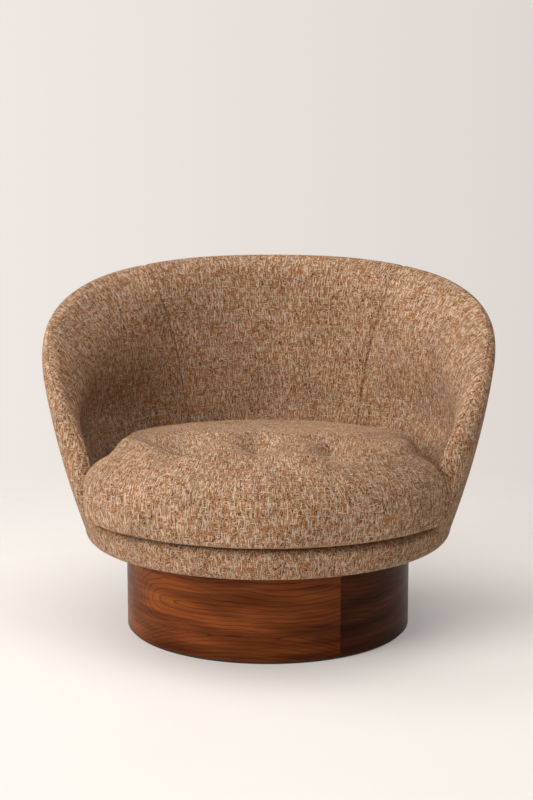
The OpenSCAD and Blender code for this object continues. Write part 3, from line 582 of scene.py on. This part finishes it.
def walnut(name, centre_deg, centre_z, close_at, tone, seed):
    """Satin walnut veneer: level grain lines that close in a flat curve at one end, with hills below."""
    net = Net(name)
    xyz = net.split(net.position())
    turn = net.math("ARCTAN2", xyz[0], net.math("MULTIPLY", xyz[1], -1.0))
    u = net.math("MULTIPLY", net.math("SUBTRACT", turn, math.radians(centre_deg)), DRUM_R)
    z = xyz[2]
    drift = stretched_noise(net, u, z, 6.0, 10.0, seed, 2)
    v = net.math("ADD", net.math("SUBTRACT", z, centre_z),
                 net.math("MULTIPLY", net.math("SUBTRACT", drift, 0.5), 0.045))
    long_u = net.math("POWER", net.math("MAXIMUM", net.math("DIVIDE", u, -close_at), 0.0), 7.0)
    high_v = net.math("POWER", net.math("DIVIDE", v, 0.030), 2.0)
    oval = net.math("SQRT", net.math("ADD", long_u, high_v))
    hill_u = net.math("DIVIDE", net.math("SUBTRACT", u, 0.03), 0.15)
    hill = net.math("ADD", net.math("DIVIDE", z, 0.024), net.math("POWER", hill_u, 2.0))
    low = net.range(net.math("ADD", z, net.math("MULTIPLY", drift, 0.02)), 0.055, 0.066)
    rings = net.math("MULTIPLY", net.math("ADD", net.math("MULTIPLY", oval, low),
                                          net.math("MULTIPLY", hill, net.math("SUBTRACT", 1.0, low))), 3.1)
    ragged = stretched_noise(net, u, z, 9.0, 60.0, seed, 2)
    late = net.math("FRACT", net.math("ADD", rings, net.math("MULTIPLY", ragged, 0.7)))
    grain = net.ramp(late, [(0.0, (0.168, 0.0440, 0.0104)), (0.80, (0.150, 0.0385, 0.0092)),
                            (0.92, (0.070, 0.0160, 0.0046)), (1.0, (0.160, 0.0415, 0.0100))])
    fibres = stretched_noise(net, u, z, 16.0, 900.0, seed, 3)
    flame = stretched_noise(net, u, z, 5.0, 48.0, seed, 3)
    broad = stretched_noise(net, u, z, 4.0, 9.0, seed + 3, 2)
    bands = net.math("ADD", net.math("MULTIPLY", flame, 0.55), net.math("MULTIPLY", broad, 0.45))
    lines = net.ramp(fibres, [(0.30, (0.74,) * 3), (0.68, (1.20,) * 3)])
    streaks = net.ramp(bands, [(0.36, (0.46 * tone, 0.43 * tone, 0.40 * tone)), (0.50, (0.97 * tone,) * 3),
                               (0.64, (1.80 * tone, 1.85 * tone, 1.75 * tone))])
    colour = net.blend(1.0, net.blend(1.0, grain, lines, "MULTIPLY"), streaks, "MULTIPLY")
    net.bump(fibres, 0.04 * MM, 0.3)
    return net.finish(colour, net.range(fibres, 0.3, 0.7, 0.36, 0.30), Specular_IOR_Level=0.05)


def plywood(name):
    net = Net(name)
    xyz = net.split(net.position())
    plies = net.math("FRACT", net.math("MULTIPLY", xyz[2], 1 / (3 * MM)))
    grain = net.noise(net.vector(net.math("MULTIPLY", xyz[0], 12.0), net.math("MULTIPLY", xyz[1], 160.0),
                                 net.math("MULTIPLY", xyz[2], 160.0)), 1.0, 4, 0.6)
    wood = net.ramp(grain, [(0.3, (0.40, 0.25, 0.12)), (0.7, (0.66, 0.48, 0.29))])
    lines = net.ramp(plies, [(0.0, (0.80,) * 3), (0.5, (1.0,) * 3), (0.95, (0.86,) * 3)])
    net.bump(grain, 0.2 * MM, 0.4)
    return net.finish(net.blend(1.0, wood, lines, "MULTIPLY"), 0.62)


def steel(name):
    net = Net(name)
    brushed = net.noise(net.position(), 420, 3)
    blotch = net.noise(net.position(), 35, 2)
    colour = net.ramp(blotch, [(0.3, (0.46, 0.47, 0.49)), (0.7, (0.62, 0.63, 0.64))])
    net.bump(brushed, 0.05 * MM, 0.3)
    return net.finish(colour, net.range(brushed, 0.3, 0.7, 0.28, 0.42), Metallic=1.0)


def black_paint(name):
    net = Net(name)
    speck = net.noise(net.position(), 500, 3)
    colour = net.ramp(speck, [(0.3, (0.008, 0.007, 0.007)), (0.7, (0.017, 0.015, 0.014))])
    net.bump(speck, 0.1 * MM, 0.4)
    return net.finish(colour, 0.55)


def cloth_plain(name, dark, light, pitch):
    """Plain lining or webbing cloth, woven square on its position."""
    net = Net(name)
    xyz = net.split(net.position())
    wave_x = net.math("SINE", net.math("MULTIPLY", xyz[0], math.pi / pitch))
    wave_y = net.math("SINE", net.math("MULTIPLY", xyz[1], math.pi / pitch))
    weave = net.math("MULTIPLY", wave_x, wave_y)
    tone = net.noise(net.position(), 120, 3)
    height = net.math("ADD", weave, tone)
    net.bump(height, 0.3 * MM, 0.6)
    return net.finish(net.ramp(height, [(0.2, dark), (0.9, light)]), 0.9)


def foam(name):
    net = Net(name)
    cells = net.node("ShaderNodeTexVoronoi", {"Vector": net.position(), "Scale": 700.0}).outputs["Distance"]
    tone = net.noise(net.position(), 25, 2)
    net.bump(cells, 0.4 * MM, 0.5)
    return net.finish(net.ramp(tone, [(0.3, (0.70, 0.62, 0.40)), (0.7, (0.82, 0.75, 0.54))]), 0.95)


tweed_body = tweed("tweed_body")
tweed_seat = tweed("tweed_seat", 1.03)
walnuts = {
    "veneer_front": walnut("walnut_front", -14, 0.098, 0.175, 1.0, 1.3),
    # The right leaf is far darker than the others: partly a darker leaf, partly painted shade for the drum's
    # shaded right side.
    "veneer_right": walnut("walnut_right_dark_and_shaded", 74, 0.10, 0.42, 0.36, 5.1),
    "veneer_back": walnut("walnut_back", 165, 0.08, 0.20, 0.95, 9.7),
    "veneer_left": walnut("walnut_left", -110, 0.09, 0.18, 0.80, 14.2),
}
raw_wood = plywood("plywood_raw")
zinc = steel("zinc_plate")
black = black_paint("black_paint")
webbing = cloth_plain("webbing_cloth", (0.012, 0.012, 0.012), (0.05, 0.05, 0.05), 1.4 * MM)
dust_cloth = cloth_plain("dust_cloth", (0.01, 0.01, 0.01), (0.035, 0.034, 0.033), 0.8 * MM)
foam_pale = foam("foam_pale")

FINISH = {"plywood": raw_wood, "steel": zinc, "black_foot": black, "webbing": webbing, "foam": foam_pale,
          "upholstery": tweed_body}
slots = {row["node"]: row["material_slot"] for row in frame["record"]["subparts"]}
for node, thing in frame["nodes"].items():
    finish = walnuts.get(node) or FINISH[slots[node]]
    thing.data.materials.clear()
    thing.data.materials.append(finish)

# Upholstered body
band = panel_grid(-ARM_S, ARM_S)
arm_right = panel_grid(ARM_S, SEAM_S)
arm_left = panel_grid(-SEAM_S, -ARM_S)
back = panel_grid(SEAM_S, 2 * BACK_S - SEAM_S)
inside = (0, SEAM_ROW)
last_row = band["skin"].shape[1] - 1
outside = (SEAM_ROW, last_row)

panel("front_band", band, (0, last_row), tweed_body,
      ["front_band_cover", "front_band_pad", "front_band_wadding"], 0, 50, ())
panel("inside_arm_right", arm_right, inside, tweed_body, ["inside_arm_cover_right", "inside_arm_pad_right"],
      SEAM_S, 2.5, ("end", "rim"))
panel("inside_arm_left", arm_left, inside, tweed_body, ["inside_arm_cover_left", "inside_arm_pad_left"],
      -SEAM_S, 2.5, ("start", "rim"))
panel("outside_right", arm_right, outside, tweed_body, ["outside_cover_right", "outside_wadding_right"],
      SEAM_S, 6, ("end", "rim"))
panel("outside_left", arm_left, outside, tweed_body, ["outside_cover_left", "outside_wadding_left"],
      -SEAM_S, 6, ("start", "rim"))
panel("inside_back", back, inside, tweed_body, ["inside_back_cover", "inside_back_pad"],
      BACK_S, 6, ("start", "end", "rim"))
panel("outside_back", back, outside, tweed_body, ["outside_back_cover", "outside_back_wadding"],
      BACK_S, 6, ("start", "end", "rim"))


# Loose cushion
def between_r(a, z):
    a = np.abs(a)
    return out_r(a, z) - 1.07 * wall_thick(rim_z(a)) - CUSHION_GAP


def wing_share(a, lead):
    return smooth((np.abs(a) + lead - ARM_DEG + WING_GAP_DEG) / WING_TURN)


def cushion_top(y):
    return CUSHION_Z + CUSHION_H - CUSHION_FALL * smooth((y + 0.25) / 0.5)


def cushion_mid(y):
    return mix(CUSHION_Z, cushion_top(y), MID_SHARE)


def cushion_r(a, z, draw, lead):
    return mix(CUSHION_FRONT_R - draw, between_r(a, z), wing_share(a, lead))


def tuft_dip(x, y):
    """Depth of the tufts, of the shallow valley that joins them and of the creases behind them."""
    total = np.zeros_like(x)
    scallop = np.ones_like(x)
    for tuft_x, tuft_y in TUFTS:
        scallop -= 0.45 * np.exp(-((x - tuft_x) / SCALLOP_W) ** 2)
        ahead = np.where(y < tuft_y, 0.7, 1) * (y - tuft_y)
        away = np.hypot(x - tuft_x, ahead)
        cup = 0.6 * np.exp(-(away / TUFT_WIDE) ** 2) + 0.4 * np.exp(-(away / TUFT_NARROW) ** 2)
        total += TUFT_DEPTH * cup
        back = (y - tuft_y) / CREASE_LENGTH
        fade = smooth(back / 0.3) * smooth((1 - back) / 0.7)
        aside = x - tuft_x + 0.12 * (y - tuft_y)
        total += CREASE * np.exp(-(aside / np.where(aside < 0, CREASE_STEEP, CREASE_SOFT)) ** 2) * fade
    reach = np.hypot(x, y)
    front = smooth((-y - 0.06) / 0.10)
    valley = VALLEY * np.exp(-((reach - VALLEY_R) / VALLEY_W) ** 2)
    ridge = RIDGE * scallop * np.exp(-((reach - RIDGE_R) / RIDGE_W) ** 2)
    return total + (valley - ridge) * front


CELLS = 116
SIDE_ROWS = 18


def squircle(n):
    line = np.linspace(-1, 1, n + 1)
    u, v = np.meshgrid(line, line, indexing="ij")
    d = np.stack([u * np.sqrt(1 - v ** 2 / 2), v * np.sqrt(1 - u ** 2 / 2)], -1)
    s = np.clip(np.linalg.norm(d, axis=-1), 1e-9, 1)
    return d / s[..., None], s


def cushion_mesh():
    way, s = squircle(CELLS)
    a = angle_of(np.concatenate([way, way[..., :1] * 0], -1))
    drawn = np.sin(np.radians(80) * s) / np.sin(np.radians(80))
    edge_r = cushion_r(a, cushion_mid(way[..., 1] * CUSHION_FRONT_R), 0, 0)
    r = drawn * mix(CROWN_MEAN_R, edge_r, drawn ** 4)
    x, y = way[..., 0] * r, way[..., 1] * r
    mid = cushion_mid(y)
    rise = cushion_top(y) - mid
    z = mid + rise * np.sqrt(np.clip(1 - drawn ** CROWN_POWER, 0, 1)) - tuft_dip(x, y)
    crown = np.stack([x, y, z], -1)
    edge = np.concatenate([np.arange(CELLS) * (CELLS + 1),
                           CELLS * (CELLS + 1) + np.arange(CELLS),
                           np.arange(CELLS, 0, -1) * (CELLS + 1) + CELLS,
                           np.arange(CELLS, 0, -1)])
    flat = crown.reshape(-1, 3)
    top = flat[edge]
    top_a = angle_of(top)
    low_z = CUSHION_Z + 0.2 * MM
    low_r = cushion_r(top_a, low_z, FOOT_DRAW, FOOT_LEAD)
    bow = mix(16, 1.1, wing_share(top_a, FOOT_LEAD))
    sides = []
    for k in range(1, SIDE_ROWS + 1):
        t = 1 - (1 - k / SIDE_ROWS) ** 1.6
        sides.append(at(top_a, mix(reach_of(top), low_r, t ** bow), mix(top[:, 2], low_z, t)))
    foot_r = cushion_r(a, low_z, FOOT_DRAW, FOOT_LEAD)
    base = np.stack([way[..., 0] * s * foot_r, way[..., 1] * s * foot_r, np.full_like(s, low_z)], -1)
    verts = np.concatenate([flat, *sides[:-1], base.reshape(-1, 3)])
    n, m, rim_n = CELLS + 1, CELLS + 1, len(edge)
    loops = [edge] + [len(flat) + k * rim_n + np.arange(rim_n) for k in range(SIDE_ROWS - 1)]
    base_at = len(flat) + (SIDE_ROWS - 1) * rim_n
    loops.append(base_at + edge)
    faces = [grid_faces(n, m), grid_faces(n, m, True, base_at)]
    for upper, lower in zip(loops, loops[1:]):
        faces.append(np.stack([lower, np.roll(lower, -1), np.roll(upper, -1), upper], -1))
    uv_top = cushion_uv(a, drawn, crown)
    spoke = np.linalg.norm(np.diff(np.stack([top, *sides]), axis=0), axis=2).cumsum(0)
    uv_sides = [cushion_side_uv(top_a, uv_top.reshape(-1, 2)[edge], spoke[k]) for k in range(SIDE_ROWS - 1)]
    uvs = np.concatenate([uv_top.reshape(-1, 2), *uv_sides, base.reshape(-1, 3)[:, :2]])
    return verts, np.concatenate(faces), uvs


def cushion_uv(a, drawn, crown):
    """Warp straight over the top from front to back, easing into upright lines on the front."""
    fallen = np.clip(CUSHION_Z + CUSHION_H - 6 * MM - crown[..., 2], 0, None)
    length = reach_of(crown) + 0.6 * fallen * drawn ** 6
    flat_way = np.stack([np.sin(np.radians(a)), -np.cos(np.radians(a))], -1) * length[..., None]
    wrapped = np.stack([CUSHION_FRONT_R * np.radians(a), -length], -1)
    front = smooth((100 - np.abs(a)) / 40)
    w = (smooth((drawn - 0.5) / 0.5) * front)[..., None]
    return mix(flat_way, wrapped, w)


def cushion_side_uv(a, top_uv, down):
    front = smooth((100 - np.abs(a)) / 40)[:, None]
    way = np.stack([np.sin(np.radians(a)), -np.cos(np.radians(a))], -1)
    return top_uv + mix(way, np.array([[0.0, -1.0]]), front) * down[:, None]


VOXEL = 6 * MM
SHRINK = 4 * MM
CAP = 9 * MM
PIN_R = 12 * MM
PIN_FADE = 34 * MM
ABOVE_FOOT = 60 * MM
PRESSURE = 4
CLOTH_FRAMES = 20
NEAR_POINTS = 8


def evaluated(piece):
    return bpy.data.meshes.new_from_object(piece.evaluated_get(bpy.context.evaluated_depsgraph_get()))


def coordinates(mesh):
    found = np.zeros(len(mesh.vertices) * 3)
    mesh.vertices.foreach_get("co", found)
    return found.reshape(-1, 3)


def blown_up(verts, faces):
    """The cushion's points after a short cloth simulation: filled and held at its tufts and foot."""
    scene = bpy.context.scene
    start = mesh_piece("cushion_start", verts, faces, None)
    normals = np.zeros(len(start.data.vertices) * 3)
    start.data.vertices.foreach_get("normal", normals)
    above_foot = smooth((verts[:, 2:] - CUSHION_Z) / 0.04)
    small = verts - normals.reshape(-1, 3) * SHRINK * above_foot
    start.data.vertices.foreach_set("co", small.ravel())
    remesh = start.modifiers.new("remesh", "REMESH")
    remesh.mode = "VOXEL"
    remesh.voxel_size = VOXEL
    cover = bpy.data.objects.new("cushion_cloth", evaluated(start))
    scene.collection.objects.link(cover)
    rest = coordinates(cover.data)
    on_top = rest[:, 2] > CUSHION_Z + ABOVE_FOOT
    held = rest[:, 2] < CUSHION_Z + 4 * MM
    for tuft_x, tuft_y in TUFTS:
        held |= (np.hypot(rest[:, 0] - tuft_x, rest[:, 1] - tuft_y) < PIN_R) & on_top
    cover.vertex_groups.new(name="held").add(np.flatnonzero(held).tolist(), 1.0, "REPLACE")
    cloth = cover.modifiers.new("cloth", "CLOTH")
    cloth.settings.quality = 5
    cloth.settings.mass = 0.3
    cloth.settings.use_pressure = True
    cloth.settings.uniform_pressure_force = PRESSURE
    cloth.settings.bending_stiffness = 0.5
    cloth.settings.shrink_min = -0.025
    cloth.settings.vertex_group_mass = "held"
    cloth.settings.effector_weights.gravity = 0
    cloth.point_cache.frame_start = 1
    cloth.point_cache.frame_end = CLOTH_FRAMES
    for frame_number in range(1, CLOTH_FRAMES + 1):
        scene.frame_set(frame_number)
    moved = coordinates(evaluated(cover)) - rest
    scene.frame_set(1)
    length = np.linalg.norm(moved, axis=1, keepdims=True)
    moved *= np.minimum(1, CAP / np.maximum(length, 1e-9))
    for tuft_x, tuft_y in TUFTS:
        away = np.hypot(rest[:, 0] - tuft_x, rest[:, 1] - tuft_y)
        moved *= 1 - (np.exp(-(away / PIN_FADE) ** 2) * on_top)[:, None]
    tree = KDTree(len(rest))
    for index, place in enumerate(rest):
        tree.insert(place, index)
    tree.balance()
    shift = np.zeros_like(small)
    for index, place in enumerate(small):
        near = tree.find_n(place, NEAR_POINTS)
        weights = np.array([1 / (distance + VOXEL / 4) ** 2 for _, _, distance in near])
        shift[index] = weights @ moved[[found for _, found, _ in near]] / weights.sum()
    for piece in (cover, start):
        bpy.data.objects.remove(piece)
    return small + shift


verts, faces, uvs = cushion_mesh()
verts = blown_up(verts, faces)
cushion = mesh_piece("seat_cushion", verts, faces, tweed_seat, uvs)
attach(cushion, "cushion")
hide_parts("cushion_cover", "cushion_core")


# Deck under the cushion, webbing and dust cover
def ring_stack(name, rings, material):
    """Closed form through rings of points; its first and last rings are closed with fans."""
    n = len(rings[0])
    verts = np.concatenate([*rings, [rings[0].mean(0)], [rings[-1].mean(0)]])
    faces = []
    step = np.arange(n)
    for k in range(len(rings) - 1):
        faces += np.stack([k * n + step, k * n + (step + 1) % n, (k + 1) * n + (step + 1) % n,
                           (k + 1) * n + step], -1).tolist()
    first, last = len(rings) * n, len(rings) * n + 1
    faces += [[first, int((i + 1) % n), int(i)] for i in step]
    top = (len(rings) - 1) * n
    faces += [[last, int(top + i), int(top + (i + 1) % n)] for i in step]
    piece = mesh_piece(name, verts, faces, material, uvs=verts[:, :2])
    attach(piece, "seat")
    return piece


deck_s = np.linspace(-BACK_S, BACK_S, 241)[:-1]
deck_c = columns(deck_s)
deck_edge = roll_point(deck_c, np.full((len(deck_s), 1), -90.0))[:, 0]


def deck_ring(z, inset):
    a = angle_of(deck_edge)
    return at(a, reach_of(deck_edge) + out_r(a, z) - out_r(a, deck_edge[:, 2]) - inset, z)


deck_rings = [deck_ring(z * MM, inset * MM) for z, inset in (
    (212, 5), (212.6, 2.2), (216, 1.5), (228, 1.5), (231, 2.3), (232.8, 4.6), (233.4, 8.5), (233.5, 60),
    (233.3, 150))]
deck = ring_stack("deck_cloth", deck_rings, tweed_body)
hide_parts("deck_cover", "deck_pad", "deck_insulator")

STRAP_N = 6
STRAP_W = 50 * MM
STRAP_T = 1.4 * MM
STRAP_PITCH = 88 * MM
STRAP_Z = 209.5 * MM
STRAP_STEPS = 60


def land_r(a):
    return out_r(a, 208 * MM) - 32.6 * MM


def straps(name, turn_deg, node, phase):
    """Webbing straps that pass over and under those that cross them."""
    verts, faces = [], []
    turn = np.radians(turn_deg)
    for k in range(STRAP_N):
        offset = (k - (STRAP_N - 1) / 2) * STRAP_PITCH
        edges = []
        for side in (-1, 1):
            across = offset + side * STRAP_W / 2
            ends = []
            for way in (-1, 1):
                reach = 0.3
                for _ in range(8):
                    a = math.degrees(math.atan2(across * math.cos(turn) - way * reach * math.sin(turn),
                                                -(across * math.sin(turn) + way * reach * math.cos(turn))))
                    reach = math.sqrt(max(float(land_r(a)) ** 2 - across ** 2, 1e-6))
                ends.append(way * reach)
            edges.append((across, ends))
        start = len(verts)
        for i in range(STRAP_STEPS + 1):
            for across, ends in edges:
                along = mix(ends[0], ends[1], i / STRAP_STEPS)
                weave = math.cos(math.pi * (along / STRAP_PITCH + 0.5)) * (-1) ** (k + phase)
                lift = 0.72 * MM * max(-1, min(1, 1.6 * weave))
                x = across * math.cos(turn) - along * math.sin(turn)
                y = across * math.sin(turn) + along * math.cos(turn)
                verts.append((x, y, STRAP_Z + lift + STRAP_T / 2 - 0.4 * MM))
                verts.append((x, y, STRAP_Z + lift - STRAP_T / 2 + 0.3 * MM))
        for i in range(STRAP_STEPS):
            p = start + 4 * i
            q = p + 4
            faces += [[p, p + 2, q + 2, q], [p + 1, q + 1, q + 3, p + 3], [p, q, q + 1, p + 1],
                      [p + 2, p + 3, q + 3, q + 2]]
        last = start + 4 * STRAP_STEPS
        faces += [[start, start + 1, start + 3, start + 2], [last, last + 2, last + 3, last + 1]]
    piece = mesh_piece(name, verts, faces, webbing, uvs=np.array(verts)[:, :2])
    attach(piece, "seat")
    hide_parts(node)


straps("straps_lengthwise", 0, "webbing_lengthwise", 0)
straps("straps_crosswise", 90, "webbing_crosswise", 1)

DUST_HOLE_R = 146 * MM
DUST_T = 0.7 * MM
DUST_TOP_Z = 172.9 * MM
DUST_SAG = 1.6 * MM
dust_a = np.linspace(-180, 180, 145)[:-1]
dust_rim = out_r(dust_a, CORNER_Z) - CORNER_R - HEM_W - 2.4 * MM
dust_rings = []
for share, side in [(t, 0) for t in np.linspace(0, 1, 9)] + [(t, 1) for t in np.linspace(1, 0, 9)]:
    sag = DUST_SAG * math.sin(math.pi * share) * (1 + 0.3 * np.cos(np.radians(10 * dust_a)))
    dust_rings.append(at(dust_a, mix(DUST_HOLE_R, dust_rim, share), DUST_TOP_Z - DUST_T * (1 - side) - sag))


def band_of_rings(name, rings, material):
    n, m = len(rings), len(rings[0])
    verts = np.concatenate(rings)
    i, j = np.meshgrid(np.arange(n), np.arange(m), indexing="ij")
    below, beside = (i + 1) % n, (j + 1) % m
    faces = np.stack([i * m + j, i * m + beside, below * m + beside, below * m + j], -1).reshape(-1, 4)
    piece = mesh_piece(name, verts, faces[:, ::-1], material, uvs=verts[:, :2])
    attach(piece, "seat")
    return piece


dust = band_of_rings("dust_cloth", dust_rings, dust_cloth)
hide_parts("dust_cover")

# Camera, light and stage
camera_data = bpy.data.cameras.new("camera")
camera_data.lens = FOCAL_PX / max(FRAME_PX) * SENSOR_MM
camera_data.sensor_width = SENSOR_MM
camera_data.shift_x = -AXIS_OFFSET_PX / max(FRAME_PX)
camera_data.clip_end = 200
camera = bpy.data.objects.new("camera", camera_data)
bpy.context.scene.collection.objects.link(camera)
camera.location = (math.sin(EYE_TURN) * EYE_DISTANCE, -math.cos(EYE_TURN) * EYE_DISTANCE, EYE_HEIGHT)
camera.rotation_euler = (math.pi / 2 - EYE_PITCH, 0, EYE_TURN)
bpy.context.scene.camera = camera


def area_light(name, place, target, size, watts, colour):
    data = bpy.data.lights.new(name, "AREA")
    data.shape = "RECTANGLE"
    data.size, data.size_y = size
    data.energy = watts
    data.color = colour
    lamp = bpy.data.objects.new(name, data)
    lamp.location = place
    lamp.rotation_euler = (Vector(target) - Vector(place)).to_track_quat("-Z", "Y").to_euler()
    bpy.context.scene.collection.objects.link(lamp)


LAMP_COLOUR = (1.0, 0.965, 0.925)
area_light("key", (-4.2, -3.9, 2.85), (0, 0, 0.35), (3.6, 3.0), 274, LAMP_COLOUR)
area_light("top", (0.15, -0.9, 6.1), (0, 0, 0.35), (4.5, 4.5), 225, LAMP_COLOUR)
area_light("rim", (-3.9, 1.2, 4.9), (0, 0, 0.35), (3.6, 3.0), 120, LAMP_COLOUR)


def seen_rays(tree):
    """1 for the rays that show the background: the camera's own, and those that metal or glass sends on."""
    rays = tree.nodes.new("ShaderNodeLightPath")
    seen = rays.outputs["Is Camera Ray"]
    for kind in ("Is Glossy Ray", "Is Transmission Ray"):
        either = tree.nodes.new("ShaderNodeMath")
        either.operation = "MAXIMUM"
        tree.links.new(seen, either.inputs[0])
        tree.links.new(rays.outputs[kind], either.inputs[1])
        seen = either.outputs[0]
    return seen


AMBIENT = (0.155, 0.144, 0.134, 1)
# Background the camera sees: painted light, lighter at the left and darker at the right as if lit from the
# left.
BACKDROP_LIT_LEFT = (0.863, 0.807, 0.768, 1)
BACKDROP_SHADED_RIGHT = (0.738, 0.687, 0.645, 1)
world = bpy.data.worlds.new("studio")
bpy.context.scene.world = world
world.use_nodes = True
nodes, links = world.node_tree.nodes, world.node_tree.links
shader = nodes["Background"]
way = nodes.new("ShaderNodeSeparateXYZ")
links.new(nodes.new("ShaderNodeTexCoord").outputs["Generated"], way.inputs[0])
sweep = nodes.new("ShaderNodeMapRange")
sweep.inputs[1].default_value = -0.20
sweep.inputs[2].default_value = 0.12
links.new(way.outputs[0], sweep.inputs[0])
backdrop = nodes.new("ShaderNodeMix")
backdrop.data_type = "RGBA"
backdrop.inputs[6].default_value = BACKDROP_LIT_LEFT
backdrop.inputs[7].default_value = BACKDROP_SHADED_RIGHT
links.new(sweep.outputs[0], backdrop.inputs[0])
pick = nodes.new("ShaderNodeMix")
pick.data_type = "RGBA"
pick.inputs[6].default_value = AMBIENT
links.new(backdrop.outputs[2], pick.inputs[7])
links.new(seen_rays(world.node_tree), pick.inputs[0])
links.new(pick.outputs[2], shader.inputs["Color"])
shader.inputs["Strength"].default_value = 1.0

FLOOR_LIFT = (0.94, 0.885, 0.845, 1)


def floor_material():
    net = Net("studio_floor")
    mottle = net.noise(net.position(), 2.2, 4)
    paint = net.ramp(mottle, [(0.3, (0.84, 0.82, 0.80)), (0.7, (0.87, 0.85, 0.83))])
    net.finish(paint, 0.6, Specular_IOR_Level=0.1)
    spot = net.split(net.position())
    ahead = net.math("ADD", spot[1], 0.6)
    far = net.math("SQRT", net.math("ADD", net.math("POWER", spot[0], 2.0), net.math("POWER", ahead, 2.0)))
    seen = seen_rays(net.tree)
    glow = net.node("ShaderNodeEmission", {"Color": FLOOR_LIFT}).outputs[0]
    lifted = net.node("ShaderNodeMixShader", {0: net.math("MULTIPLY", seen, 0.28), 1: net.bsdf.outputs[0],
                                              2: glow}).outputs[0]
    share = net.math("MULTIPLY", net.range(far, 1.2, 2.1), seen)
    clear = net.node("ShaderNodeBsdfTransparent").outputs[0]
    mixed = net.node("ShaderNodeMixShader", {0: share, 1: lifted, 2: clear})
    net.tree.links.new(mixed.outputs[0], net.tree.nodes["Material Output"].inputs["Surface"])
    return net.material


FLOOR_R = 60
FLOOR_SIDES = 96
ring = np.arange(FLOOR_SIDES) * 2 * math.pi / FLOOR_SIDES
floor_verts = [(FLOOR_R * math.cos(t), FLOOR_R * math.sin(t), 0) for t in ring]
floor_face = list(range(FLOOR_SIDES))
floor = mesh_piece("studio_floor", floor_verts, [floor_face], floor_material(), smooth_faces=False)

bpy.context.scene.view_settings.view_transform = "Standard"
